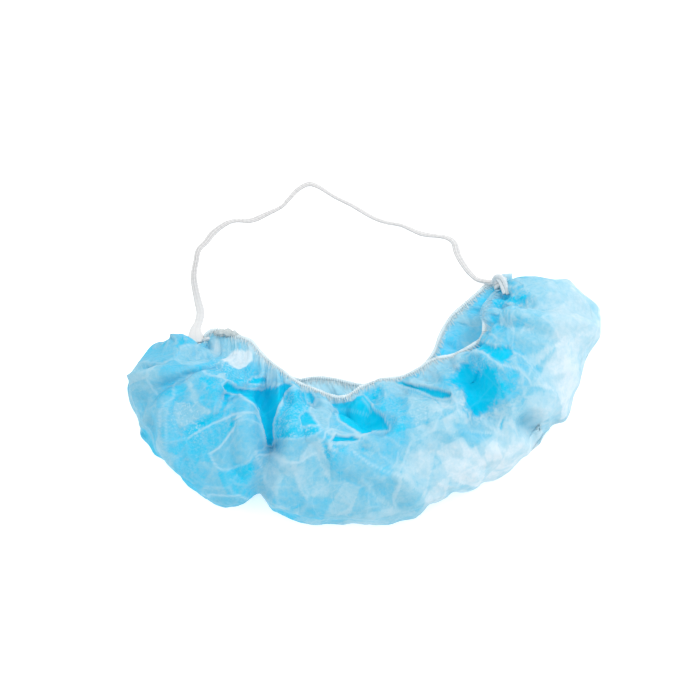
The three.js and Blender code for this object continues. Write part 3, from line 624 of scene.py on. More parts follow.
# Where the settled cloth is drawn aside: u, v, the reach along and across the strip, and how far
# in x, in y and perhaps in z
TUGS = (
    (0.137, 0.552, 9, 22, 1.5, -3.6), (0.089, 0.700, 7, 30, 0.6, 2.2),
    (0.232, 0.437, 5, 8, -4.5, -0.6), (0.206, 0.519, 7, 18, 1.7, 0),
    (0.283, 0.504, 10, 18, 2.4, 1.6), (0.325, 0.480, 9, 18, 0.6, 0.2),
    (0.350, 0.470, 5, 14, 0, 1.8), (0.373, 0.463, 9, 18, 0, 2.0),
    (0.396, 0.440, 6, 18, 0, 2.6), (0.424, 0.463, 8, 18, 0, 1.4),
    (0.486, 0.463, 16, 18, 0, 1.2), (0.583, 0.463, 7, 18, 1.1, -2.3),
    (0.618, 0.500, 6, 18, 0, 1.5), (0.657, 0.480, 6, 18, -0.8, 1.6),
    (0.685, 0.470, 6, 18, 0.6, -2.0), (0.735, 0.460, 8, 18, 1.7, -3.0),
    (0.757, 0.489, 5, 18, -3.3, 2.9), (0.781, 0.480, 6, 18, 3.3, -2.3),
    (0.806, 0.500, 8, 18, 0.8, -1.6), (0.832, 0.480, 9, 20, 5.0, -1.7),
    (0.850, 0.490, 7, 20, 2.2, 0), (0.882, 0.589, 10, 26, -4.3, -2.9),
    (0.925, 0.780, 9, 26, -0.6, 1.6), (0.947, 0.700, 8, 22, 0, 2.4),
    (0.930, 0.650, 7, 22, 0, 1.4), (0.898, 0.460, 7, 20, -0.8, -2.8),
    (0.878, 0.470, 6, 20, 0.8, 0), (0.797, 0.500, 7, 18, -2.0, 0),
    (0.772, 0.470, 5, 18, 0, -1.2), (0.737, 0.450, 6, 18, 1.8, -1.8),
    (0.716, 0.450, 4, 18, -1.0, 1.2), (0.678, 0.470, 7, 18, 0.4, -2.6),
    (0.645, 0.450, 7, 18, 0.5, -2.2), (0.622, 0.460, 4, 18, -0.4, 1.8),
    (0.592, 0.470, 6, 18, 1.0, -1.8), (0.520, 0.455, 16, 18, 0, 2.2),
    (0.438, 0.460, 9, 18, 0, -1.6), (0.386, 0.430, 6, 18, 0, 2.0),
    (0.351, 0.460, 7, 18, 0, -1.4), (0.330, 0.460, 5, 18, 0.6, 0.8),
    (0.244, 0.450, 8, 18, -1.8, -1.4), (0.200, 0.480, 9, 18, 1.6, 0),
    (0.165, 0.470, 6, 18, -1.0, 0), (0.122, 0.580, 7, 24, 1.4, -1.8),
    (0.345, 0.620, 12, 34, 0, 0, 4.0), (0.092, 0.750, 9, 26, 0.4, 2.2),
    (0.132, 0.583, 6, 20, 1.0, -0.8), (0.177, 0.533, 8, 20, 0.7, 0),
    (0.388, 0.440, 6, 18, 0, 1.0), (0.349, 0.500, 5, 16, 0, -1.4),
    (0.891, 0.588, 7, 22, -0.9, -1.0), (0.874, 0.470, 6, 20, 1.8, 0.4),
    (0.843, 0.523, 5, 18, -0.8, 0.6), (0.822, 0.475, 7, 18, -0.5, 0.3),
    (0.797, 0.510, 6, 18, -1.0, 0), (0.777, 0.457, 5, 16, 0.6, -2.2),
    (0.758, 0.447, 4, 16, 0.8, -1.0), (0.738, 0.457, 6, 16, 1.2, -1.2),
    (0.690, 0.467, 6, 16, -0.5, 0.9), (0.666, 0.420, 4, 16, 0, 0.9),
    (0.604, 0.430, 7, 16, -0.6, 1.2), (0.490, 0.440, 14, 16, 0, -0.7),
    (0.102, 0.437, 4, 16, 0, 1.2), (0.946, 0.790, 6, 20, 0, 2.2),
    (0.080, 0.690, 8, 26, 0, 3.0), (0.118, 0.500, 8, 24, 1.2, -1.8),
    (0.150, 0.540, 7, 20, -1.4, 0), (0.392, 0.430, 8, 18, 0.3, 1.6),
    (0.415, 0.450, 7, 18, 0, 1.4), (0.250, 0.440, 9, 16, -1.4, -1.0),
    (0.625, 0.440, 6, 16, -0.3, 1.3), (0.925, 0.740, 9, 26, 0, 1.6),
)

# Where the gathers are drawn smooth, in the photograph's pixels: across, down, reach, strength
SMOOTH_SPOTS = ((222, 350, 26, 1.0), (245, 358, 18, 1.0))
SMOOTHINGS = 240

SHEET_COLUMNS = 480
SHEET_ROWS = 200
DRAPE_COLUMNS = 150
DRAPE_ROWS = 60
DRAPE_FRAMES = 24
DRAPE_REACH = 5
LOOSENESS = 0.05
DRAPE_HELD_TO = 0.34
DRAPE_HELD_ENDS = 0.04
DRAPE_SETTING = 8
DRAPE_SOFTENINGS = 3
CLOTH_SETTINGS = {
    "vertex_group_mass": "held",
    "quality": 6,
    "mass": 0.05,
    "tension_stiffness": 12,
    "compression_stiffness": 12,
    "shear_stiffness": 4,
    "bending_stiffness": 0.03,
    "shrink_min": -LOOSENESS,
    "air_damping": 4,
}
DRAPE_GRAVITY = 0.1
# The cloth buckles on its upper side, from this place on across the strip
BUCKLED_FROM = 0.50
BUCKLED_SETTING = 0.14
SEEN_ALONG = np.array(-AWAY)


def mesh_of(name, points, faces, material=None):
    """A mesh object from points in metres and faces that all have as many corners."""
    mesh = bpy.data.meshes.new(name)
    points = np.asarray(points, np.float32).reshape(-1, 3)
    faces = np.asarray(faces, np.int32)
    count, corners = faces.shape
    mesh.vertices.add(len(points))
    mesh.vertices.foreach_set("co", points.ravel())
    mesh.loops.add(count * corners)
    mesh.loops.foreach_set("vertex_index", faces.ravel())
    mesh.polygons.add(count)
    mesh.polygons.foreach_set("loop_start", np.arange(count, dtype=np.int32) * corners)
    mesh.polygons.foreach_set("use_smooth", np.ones(count, bool))
    mesh.update()
    mesh.validate()
    obj = bpy.data.objects.new(name, mesh)
    if material:
        mesh.materials.append(material)
    bpy.context.scene.collection.objects.link(obj)
    return obj


def grid_faces(columns, rows, ring=False):
    """Quads over a grid of points; ring joins the last row to the first."""
    i = np.arange(columns - 1)[:, None]
    j = np.arange(rows if ring else rows - 1)[None, :]
    after_i, after_j = i + 1, (j + 1) % rows
    at = [i * rows + j, after_i * rows + j, after_i * rows + after_j, i * rows + after_j]
    return np.stack([np.broadcast_to(a, (i.size, j.size)) for a in at], -1).reshape(-1, 4)


def give_attribute(obj, name, values):
    """A number for each vertex, which the material reads."""
    attribute = obj.data.attributes.new(name, "FLOAT", "POINT")
    attribute.data.foreach_set("value", np.asarray(values, np.float32).ravel())


def resampled(grid, columns, rows, between=lambda t: t):
    """A grid of values on another number of columns and rows, in straight lines between them."""
    i = np.linspace(0, grid.shape[0] - 1, columns)
    j = np.linspace(0, grid.shape[1] - 1, rows)
    i0 = np.minimum(i.astype(int), grid.shape[0] - 2)
    j0 = np.minimum(j.astype(int), grid.shape[1] - 2)
    ti, tj = between(i - i0)[:, None, None], between(j - j0)[None, :, None]
    a, b = grid[i0][:, j0], grid[i0 + 1][:, j0]
    c, d = grid[i0][:, j0 + 1], grid[i0 + 1][:, j0 + 1]
    return (a * (1 - ti) + b * ti) * (1 - tj) + (c * (1 - ti) + d * ti) * tj


def softened(grid, times, across=True):
    """A grid whose inner values are averaged with their neighbours', or only along the strip."""
    for _ in range(times):
        grid = grid.copy()
        grid[1:-1] = (grid[:-2] + 2 * grid[1:-1] + grid[2:]) / 4
        if across:
            grid[:, 1:-1] = (grid[:, :-2] + 2 * grid[:, 1:-1] + grid[:, 2:]) / 4
    return grid


def draped_offsets():
    """How far the loose cloth buckles away from its smooth form, from a cloth simulation."""
    start, u, v = folded_sheet(DRAPE_COLUMNS, DRAPE_ROWS)
    cloth = mesh_of("draping", start * MM, grid_faces(DRAPE_COLUMNS, DRAPE_ROWS))
    from_hold = np.minimum(v - DRAPE_HELD_TO, 1 - v) * GIRTH
    from_ends = (np.minimum(u, 1 - u) - DRAPE_HELD_ENDS) * STRIP_RUN
    held = np.clip(1 - np.minimum(from_hold, from_ends) / DRAPE_SETTING, 0, 1)
    group = cloth.vertex_groups.new(name="held")
    for index, weight in enumerate(held.ravel()):
        if weight > 0:
            group.add([index], float(weight), "REPLACE")
    modifier = cloth.modifiers.new("drape", "CLOTH")
    for setting, value in CLOTH_SETTINGS.items():
        setattr(modifier.settings, setting, value)
    modifier.settings.effector_weights.gravity = DRAPE_GRAVITY
    modifier.collision_settings.use_collision = False
    modifier.point_cache.frame_start = 1
    modifier.point_cache.frame_end = DRAPE_FRAMES
    for step in range(1, DRAPE_FRAMES + 1):
        bpy.context.scene.frame_set(step)
    evaluated = cloth.evaluated_get(bpy.context.evaluated_depsgraph_get())
    moved = np.zeros(start.size, np.float32)
    evaluated.data.vertices.foreach_get("co", moved)
    bpy.data.objects.remove(cloth)
    bpy.context.scene.frame_set(1)
    away = moved.reshape(start.shape) / MM - start
    far = np.linalg.norm(away, axis=-1, keepdims=True)
    return away * DRAPE_REACH * np.tanh(far / DRAPE_REACH) / np.maximum(far, 1e-6)


def in_photo(points):
    """Where points in millimetres show in the photograph, in its pixels."""
    x, y, z = np.moveaxis(points, -1, 0)
    down = -(y * math.sin(ELEVATION) + z * math.cos(ELEVATION))
    return np.stack([x, down], -1) / PIXEL + PHOTO_ORIGIN


def inside_outline(seen, corners):
    """How far places in the photograph lie inside an outline, in millimetres, or below zero."""
    corners = np.array(corners, float)
    middle, half = (corners.min(0) + corners.max(0)) / 2, np.ptp(corners, axis=0) / 2
    close = (np.abs(seen - middle) < half + OUTLINE_MARGIN).all(-1)
    place = seen[close]
    near = np.full(len(place), np.inf)
    within = np.zeros(len(place), bool)
    for a, b in zip(corners, np.roll(corners, -1, axis=0)):
        near = np.minimum(near, segment_distance(place, a, b))
        crosses = (a[1] > place[:, 1]) != (b[1] > place[:, 1])
        rise = b[1] - a[1] if abs(b[1] - a[1]) > 1e-9 else 1e-9
        within ^= crosses & (place[:, 0] < a[0] + (place[:, 1] - a[1]) / rise * (b[0] - a[0]))
    depth = np.full(seen.shape[:-1], -OUTLINE_MARGIN * PIXEL)
    depth[close] = np.where(within, near, -near) * PIXEL
    return depth


def eased(value):
    """From 0 to 1 with a soft start and end."""
    value = np.clip(value, 0, 1)
    return value * value * (3 - 2 * value)


def spots(seen, table):
    """Soft spots of given reach and strength, the strongest of them at each place."""
    amount = np.zeros(seen.shape[:-1])
    for x, y, reach, strength in table:
        away = np.linalg.norm(seen - (x, y), axis=-1)
        amount = np.maximum(amount, strength * np.exp(-(away / reach) ** 2))
    return amount


def blended(seen, table):
    """The values of scattered places, each felt most near its own place."""
    weights = np.full(seen.shape[:-1], USUAL_WEIGHT)
    total = weights * USUAL_TONE
    for x, y, value in table:
        near = np.exp(-(np.linalg.norm(seen - (x, y), axis=-1) / TONE_REACH) ** 2)
        weights += near
        total += near * value
    return total / weights


def cloudy(shape, size, seed, octaves):
    """Soft chance clouds over the sheet from about -1 to 1, of a given size in millimetres."""
    dice = np.random.default_rng(seed)
    total = np.zeros(shape)
    for octave in range(octaves):
        step = size / 2 ** octave
        lattice = dice.uniform(-1, 1, (int(STRIP_RUN / step) + 2, int(GIRTH / step) + 2, 1))
        total += CLOUD_FADE ** octave * resampled(lattice, *shape, eased)[..., 0]
    return total


def scattered(spacing, taken, seed):
    """Places all over the sheet about a spacing apart, clear of those already taken."""
    dice = np.random.default_rng(seed)
    columns, rows = int(STRIP_RUN / spacing) + 1, int(GIRTH / spacing) + 1
    i, j = np.meshgrid(np.arange(columns + 1), np.arange(rows + 1), indexing="ij")
    grid = np.stack([i * STRIP_RUN / columns, j * GIRTH / rows], -1).reshape(-1, 2)
    grid += dice.uniform(-JITTER, JITTER, grid.shape) * spacing
    grid = np.clip(grid, 0, [STRIP_RUN, GIRTH])
    if len(taken):
        away = np.linalg.norm(grid[:, None] - np.array(taken)[None], axis=-1).min(1)
        grid = grid[away > CLEARANCE * spacing]
    return grid


def facet_relief(place, spacing, height, seed, creases=()):
    """Flat facets that meet in sharp creases: height, how near a ridge with its painted highlight is, each
    facet's chance.
    """
    corners, heights, edges = [], [], []
    for crest, line in creases:
        first = len(corners)
        corners += [tuple(p) for p in line]
        heights += [crest] * len(line)
        edges += [(k, k + 1) for k in range(first, len(corners) - 1)]
    loose = scattered(spacing, corners, seed)
    dice = np.random.default_rng(seed + 100)
    corners += [tuple(p) for p in loose]
    heights += list(dice.uniform(*FACET_LEVELS, len(loose)) * height)
    made = delaunay_2d_cdt([Vector(p) for p in corners], edges, [], 0, 1e-4)
    points, triangles, sources = np.array([tuple(p) for p in made[0]]), made[2], made[3]
    levels = np.array([heights[s[0]] if s else height for s in sources])
    relief, ridges, chances = np.zeros((3, *place.shape[:-1]))
    step = np.array([STRIP_RUN, GIRTH]) / (np.array(place.shape[:2]) - 1)

    def block(low, high):
        a = np.maximum(np.floor(low / step).astype(int), 0)
        b = np.minimum(np.ceil(high / step).astype(int) + 1, place.shape[:2])
        return slice(a[0], b[0]), slice(a[1], b[1])

    slopes = {}
    for triangle in triangles:
        a, b, c = (points[k] for k in triangle)
        basis = np.array([b - a, c - a]).T
        if abs(np.linalg.det(basis)) < 1e-6:
            continue
        inverse = np.linalg.inv(basis)
        area = block(np.minimum(np.minimum(a, b), c), np.maximum(np.maximum(a, b), c))
        share = (place[area] - a) @ inverse.T
        inside = (share.min(-1) >= -1e-6) & (share.sum(-1) <= 1 + 1e-6)
        climb = levels[[triangle[1], triangle[2]]] - levels[triangle[0]]
        relief[area] = np.where(inside, levels[triangle[0]] + share @ climb, relief[area])
        chances[area] = np.where(inside, dice.uniform(-1, 1), chances[area])
        gradient = climb @ inverse
        for k in range(3):
            edge = tuple(sorted((triangle[k], triangle[k - 1])))
            slopes.setdefault(edge, []).append((gradient, (a + b + c) / 3))
    for (p, q), sides in slopes.items():
        if len(sides) < 2:
            continue
        (slope_a, middle_a), (slope_b, middle_b) = sides
        across = middle_b - middle_a
        turn = (slope_a - slope_b) @ across / max(np.linalg.norm(across), 1e-6)
        if turn <= RIDGE_FROM:
            continue
        a, b = points[p], points[q]
        area = block(np.minimum(a, b) - RIDGE_REACH, np.maximum(a, b) + RIDGE_REACH)
        away = segment_distance(place[area], a, b)
        line = min(turn / RIDGE_FULL, 1) * np.exp(-(away / RIDGE_WIDTH) ** 2)
        ridges[area] = np.maximum(ridges[area], line)
    return relief, ridges, chances


def waves(along, table, start=0):
    """A sum of sines along the strip, from a table of height, run for each radian and phase."""
    return sum((height * np.sin(along / run + phase) for height, run, phase in table), start)


def pleats(u, v):
    """The fine pleats that the elastic pulls into the cloth beside both edges."""
    from_rim = np.minimum(v, 1 - v) * GIRTH
    along = u * STRIP_RUN
    wander = waves(along, PLEAT_WANDER)
    coarse, fine = PLEAT_PITCHES
    wave = np.sin((along + wander) * 2 * math.pi / coarse)
    wave += PLEAT_SHARE * np.sin((along - wander) * 2 * math.pi / fine)
    reach = waves(along, PLEAT_REACH_WAVES, PLEAT_REACH)
    return wave * np.exp(-(from_rim / reach) ** 2) * np.clip(from_rim / PLEAT_SETTING, 0, 1)


def drawn_edge(points, row, from_edge, route):
    """Brings one edge of the cloth to its way in the photograph, and the cloth beside it less."""
    share = np.linspace(0, 1, len(points))
    held = eased((share - EDGE_HELD) / EDGE_SETTING)
    held *= eased((1 - EDGE_HELD - share) / EDGE_SETTING)
    line = in_photo(points[:, row])
    run = length_along(line)
    first, last = np.interp(EDGE_SPAN, share, run)
    along = np.clip((run - first) / (last - first), 0, 1)
    way, way_run = curve_through([(x, y, 0) for x, y in route], 1)
    aim = [np.interp(along * way_run[-1], way_run, way[:, k]) for k in range(2)]
    shift = (np.stack(aim, -1) - line) * (PIXEL, -PIXEL / math.sin(ELEVATION)) * held[:, None]
    points[..., :2] += np.exp(-(from_edge / EDGE_REACH) ** 2)[..., None] * shift[:, None]


def settled_sheet():
    """The cloth as it lies, in millimetres, before its creases, and its u and v."""
    points, u, v = folded_sheet(SHEET_COLUMNS, SHEET_ROWS)
    away = resampled(draped_offsets(), SHEET_COLUMNS, SHEET_ROWS)
    away = softened(away, DRAPE_SOFTENINGS)
    points = points + away * eased((v - BUCKLED_FROM) / BUCKLED_SETTING)[..., None]
    calm = spots(in_photo(points), SMOOTH_SPOTS)[..., None]
    points += calm * (softened(points, SMOOTHINGS, across=False) - points)
    for at_u, at_v, along, across, *shift in TUGS:
        apart = (in_sheet(u, v) - in_sheet(at_u, at_v)) / (along, across)
        points[..., :len(shift)] += np.exp(-(apart ** 2).sum(-1, keepdims=True)) * shift
    drawn_edge(points, 0, v * GIRTH, BACK_EDGE)
    drawn_edge(points, -1, (1 - v) * GIRTH, FRONT_EDGE)
    return points, u, v


def from_photo(x, y, z):
    """The point at a height z, all in millimetres, that shows at a pixel of the photograph."""
    x, y = (np.asarray(x) - PHOTO_ORIGIN[0]) * PIXEL, (PHOTO_ORIGIN[1] - np.asarray(y)) * PIXEL
    return np.stack(np.broadcast_arrays(x, (y - z * math.cos(ELEVATION)) / math.sin(ELEVATION), z), -1)


def tab_laid_flat(points, u, v):
    """The sheet with its gathered end beyond the right knot spread out flat."""
    out = np.clip((u - TAB_FROM) / (1 - TAB_FROM), 0, 1)[..., None]
    across = 1 - np.abs(2 * v - 1)[..., None]
    a, b, c, d = np.array(RIGHT_TAB, float)
    corner = (a * (1 - out) + b * out) * (1 - across) + (d * (1 - out) + c * out) * across
    height = NECK_HEIGHT + np.where(v > 0.5, 0.5, -0.5) * np.sin(math.pi * across[..., 0])
    return points + eased(out / TAB_SETTING) * (from_photo(corner[..., 0], corner[..., 1], height) - points)


def creases_in_sheet(seen, place, v):
    """The creases with their corners as places on the cloth's front."""
    hidden = np.where(v > FRONT_FROM, 0, 1e3)
    found = []
    for height, _, line in CREASES:
        away = [np.linalg.norm(seen - corner, axis=-1) + hidden for corner in line]
        found.append((height, [place[np.unravel_index(a.argmin(), a.shape)] for a in away]))
    return found


def dressed_sheet():
    """The whole cloth on its fine grid, in millimetres, with what its material reads."""
    points, u, v = settled_sheet()
    place = in_sheet(u, v)
    seen = in_photo(points)
    stray = np.stack([cloudy(u.shape, *clouds) for clouds in STRAY_CLOUDS], -1)
    free = 1 - np.clip(2 * table_at(ROWS, u)[8], 0, 1)
    from_rim = np.minimum(v, 1 - v) * GIRTH
    loose = free * np.clip(from_rim / RIM_LOOSE, 0, 1)
    upper = eased((v - UPPER_FROM) / UPPER_SETTING)
    front = eased((v - FRONT_FROM) / FRONT_SETTING)
    relief, ridges, chances, lines, depth, blue, frayed, lips = np.zeros((8, *u.shape))
    for spacing, height, seed in FACETS:
        creases = creases_in_sheet(seen, place, v) if spacing == FACETS[0][0] else ()
        more, ridge, chance = facet_relief(place, spacing, height, seed, creases)
        relief += more
        ridges = np.maximum(ridges, ridge * RIDGE_SHARE)
        chances += chance * height / 2
    tone = blended(seen, TONES) * front + blended(seen, FAR_TONES) * (1 - front)
    tone += FACET_TONE * chances + CLOUD_TONE * cloudy(u.shape, *TONE_CLOUDS)
    tone += eased((u - TAB_FROM) / (1 - TAB_FROM)) * (TAB_TONE - tone)
    clumped = spots(seen, CLUMPED_SPOTS) * front
    painted_shade = spots(seen, PAINTED_SHADE_SPOTS)
    # Pale crease lines, partly doubled cloth and partly painted highlight
    for _, light, line in CREASES:
        for a, b in zip(np.array(line, float), np.array(line[1:], float)):
            away = segment_distance(seen + LINE_STRAY * stray, a, b) * PIXEL
            lines = np.maximum(lines, light * np.exp(-(away / LINE_WIDTH) ** 2))
    for level, setting, outline, clumps, shade_amount, corners in PANELS:
        inside = inside_outline(seen + stray * min(setting, STRAY_LIMIT), corners)
        share = PANEL_SHARE * front * eased(0.5 + inside / setting)
        tone += share * (level - tone)
        clumped = np.maximum(clumped * (1 - share), clumps * share)
        painted_shade = np.maximum(painted_shade * (1 - share), shade_amount * share)
        lines = np.maximum(lines, outline * np.exp(-(inside / LINE_WIDTH) ** 2))
    for deep, wall, hue, setting, corners in HOLLOWS:
        inside = inside_outline(seen + stray * min(setting, STRAY_LIMIT), corners)
        depth = np.maximum(depth, deep * eased(0.5 + inside / wall))
        # The deep cyan of a pocket is painted shade and light taken through stacked layers
        blue = np.maximum(blue, hue * eased(0.5 + inside / setting))
        band = np.exp(-(inside / (1 + setting)) ** 2)
        frayed = np.maximum(frayed, hue * band * min(setting / 2, 1))
        if setting < LIP_SETTING:
            lips = np.maximum(lips, hue * np.exp(-((inside + LIP_OFFSET) / LIP_WIDTH) ** 2))
    depth, blue, frayed, lips = depth * front, blue * front, frayed * front, lips * front
    relief = relief * loose * (LOWER_RELIEF + (1 - LOWER_RELIEF) * upper) * (1 - POCKET_CALM * blue)
    # The relief's humps, which get painted light, and its dips, which get painted shade
    hump = np.clip(relief - softened(relief, HUMP_SOFTENINGS), -HUMP_LIMIT, HUMP_LIMIT)
    relief += PLEAT_HEIGHT * pleats(u, v) * free + LIP_HEIGHT * lips * loose
    points = points + grid_normals(points) * relief[..., None]
    points = points + SEEN_ALONG * (depth * loose)[..., None]
    beyond = np.maximum(points[..., 1] - LEFT_NECK[1] - LEFT_END_MARGIN, 0)
    points[..., 1] -= LEFT_END_DRAWN * np.where(u < LEFT_END, beyond, 0)
    points = tab_laid_flat(points, u, v)
    points[..., 2] = np.maximum(points[..., 2], LOWEST)
    ridges = np.maximum(ridges, LIP_LIGHT * lips) * (1 - RIDGE_DIMMED * blue)
    # The tints carry painted light and shade: the tone, the pale crease lines and the light and shade spots
    tints = {
        "tone": np.clip(tone + HUMP_LIGHT_AND_SHADE * hump, 0, 1) * (1 - blue * free),
        "crease": np.maximum(lines * front * (1 - LINE_DIMMED * blue), ridges) * loose,
        "crease_line_mask": 0.5 + 0.5 * cloudy(u.shape, *LINE_MASK_CLOUDS),
        "frayed": frayed,
        "painted_light": spots(seen, PAINTED_LIGHT_SPOTS) * front,
        "painted_shade": painted_shade,
        "clumped": clumped,
        "edge": np.exp(-(from_rim / RIM_PALE) ** 2) * free,
    }
    return points, tints


# Materials

class Nodes:
    """A short way to build one material's node tree."""

    def __init__(self, name):
        self.material = bpy.data.materials.new(name)
        self.material.use_nodes = True
        self.tree = self.material.node_tree
        self.tree.nodes.clear()

    def add(self, kind, sockets=None, **settings):
        node = self.tree.nodes.new(kind)
        for key, value in settings.items():
            setattr(node, key, value)
        for key, value in (sockets or {}).items():
            if isinstance(value, bpy.types.NodeSocket):
                self.tree.links.new(value, node.inputs[key])
            else:
                node.inputs[key].default_value = value
        return node

    def attribute(self, name):
        return self.add("ShaderNodeAttribute", attribute_name=name).outputs["Fac"]

    def math(self, operation, a, b=0.0, clamp=False):
        return self.add(
            "ShaderNodeMath", {0: a, 1: b}, operation=operation, use_clamp=clamp
        ).outputs[0]

    def mix(self, share, a, b):
        node = self.add("ShaderNodeMix", {"Factor": share}, data_type="RGBA")
        for socket, value in ((node.inputs[6], a), (node.inputs[7], b)):
            if isinstance(value, bpy.types.NodeSocket):
                self.tree.links.new(value, socket)
            else:
                socket.default_value = (*value, 1)
        return node.outputs[2]

    def noise(self, scale, detail=2.0, roughness=0.5, where=None):
        where = where or self.add("ShaderNodeTexCoord").outputs["Object"]
        return self.add(
            "ShaderNodeTexNoise",
            {"Vector": where, "Scale": scale, "Detail": detail, "Roughness": roughness},
        ).outputs[0]

    def ranged(self, value, low, high, to_low=0.0, to_high=1.0):
        return self.add(
            "ShaderNodeMapRange",
            {"Value": value, "From Min": low, "From Max": high, "To Min": to_low, "To Max": to_high},
        ).outputs[0]

    def ramp(self, value, stops):
        node = self.add("ShaderNodeValToRGB", {"Fac": value})
        for place, colour in stops[1:-1]:
            node.color_ramp.elements.new(place)
        for element, (place, colour) in zip(node.color_ramp.elements, stops):
            element.position = place
            element.color = (*colour, 1)
        return node.outputs[0]

    def warped(self, reach, scale):
        where = self.add("ShaderNodeTexCoord").outputs["Object"]
        swirl = self.add(
            "ShaderNodeTexNoise", {"Vector": where, "Scale": scale, "Detail": 2}
        ).outputs["Color"]
        swirl = self.add("ShaderNodeVectorMath", {0: swirl, 1: (0.5, 0.5, 0.5)}, operation="SUBTRACT")
        swirl = self.add(
            "ShaderNodeVectorMath", {0: swirl.outputs[0], "Scale": reach}, operation="SCALE"
        )
        return self.add(
            "ShaderNodeVectorMath", {0: where, 1: swirl.outputs[0]}, operation="ADD"
        ).outputs[0]

    def crumples(self, where, scale, width):
        """Thin lines between cells, and a chance value for each cell."""
        edge = self.add(
            "ShaderNodeTexVoronoi", {"Vector": where, "Scale": scale}, feature="DISTANCE_TO_EDGE"
        ).outputs["Distance"]
        cell = self.add("ShaderNodeTexVoronoi", {"Vector": where, "Scale": scale}).outputs["Color"]
        cell = self.add("ShaderNodeSeparateColor", {0: cell}).outputs[0]
        return self.ranged(edge, 0, width, 1, 0), cell

    def bump(self, height, strength, distance):
        return self.add(
            "ShaderNodeBump", {"Height": height, "Strength": strength, "Distance": distance}
        ).outputs[0]

    def surface(self, colour, roughness, normal=None, more=None):
        sockets = {"Base Color": colour, "Roughness": roughness, **(more or {})}
        if normal:
            sockets["Normal"] = normal
        return self.add("ShaderNodeBsdfPrincipled", sockets).outputs[0]

    def show(self, shader):
        output = self.add("ShaderNodeOutputMaterial")
        self.tree.links.new(shader, output.inputs["Surface"])
        return self.material


# The cloth's colours from deep cyan to nearly white, and its colours for painted light, for painted shade
# that greys it, and for fibres and the painted highlights of creases
CLOTH_COLOURS = (
    (0.00, (0.000, 0.590, 0.825)),
    (0.10, (0.005, 0.580, 0.820)),
    (0.30, (0.070, 0.575, 0.800)),
    (0.42, (0.145, 0.560, 0.760)),
    (0.55, (0.265, 0.600, 0.740)),
    (0.65, (0.365, 0.650, 0.765)),
    (0.80, (0.520, 0.715, 0.790)),
    (1.00, (0.760, 0.830, 0.860)),
)
CLOTH_PAINTED_LIGHT = (0.640, 0.730, 0.760)
CLOTH_PAINTED_SHADE = (0.260, 0.490, 0.590)
CLOTH_FIBRE_AND_HIGHLIGHT = (0.600, 0.780, 0.850)
CLOTH_EDGE = (0.660, 0.770, 0.800)
# The rim's colour where cloth lies over it
CLOTH_OVER = (0.220, 0.560, 0.730)
# The cloth's patterns: how far and how finely its noise is warped, the scale, detail and roughness
# of its wisps and fibres, and the scale and line width of its two sizes of crumple
WARP = (0.003, 150)
WISPS = (330, 3, 0.65)
FIBRES = (720, 3, 0.7)
# The crumples' thin lines are painted pale as highlights
FOLDED_CELLS = (80, 0.03)
FINE_CELLS = (190, 0.06)
# How much a wisp, a folded cell and a fine cell change the tone
RAGGED_TONE = (0.035, 0.28)
FOLDED_TONE = 0.03
FINE_TONE = 0.015
# How strongly the painted grey shade, the lines and creases of painted highlight, the flecks and the edge
# show
PAINTED_SHADE_SHARE = 0.55
FOLDED_LINES = 0.25
FINE_LINES = 0.15
CREASE_SHARE = 0.80
FLECK_SHARES = (0.10, 0.75)
EDGE_SHARES = (0.3, 1.1)
# Between which values of the noise, of the mask of the crease lines and of the tone these set in
WISP_SPAN = (0.3, 0.7)
PLAIN_SPAN = (0, 0.12, 0.25, 1.0)
FOLDED_LINE_MASK = (0.45, 0.75)
FINE_LINE_MASK = (0.55, 0.15)
LINE_TONES = (0.05, 0.35)
FLECK_SPAN = (0.50, 0.64)
FLECK_TONES = (0.0, 0.2)
FRAYED_SPAN = (0.40, 0.60)
CLOTH_ROUGHNESS = 0.8
CLOTH_GLOSS = 0.05
CLOTH_BUMP = (0.3, 0.0004)
CLOTH_TRANSLUCENT = 0.35
# Colour on the ribs, and painted shade in the grooves, in linear colour
RIM_COLOURS = ((0.60, 0.69, 0.72), (0.48, 0.62, 0.68))
ELASTIC_COLOURS = ((0.62, 0.62, 0.62), (0.36, 0.36, 0.37))
FRAYED_COLOURS = ((0.50, 0.54, 0.54), (0.28, 0.35, 0.37))
THREAD_SCALE = 400
THREAD_UNEVEN = (0.3, 0.7, 0.7, 1.0)
THREAD_FUZZ_SCALE = 2600
THREAD_ROUGHNESS = 0.8
THREAD_GLOSS = 0.2
THREAD_SHEEN = (0.3, 0.5)
THREAD_BUMP = (0.3, 0.0002)


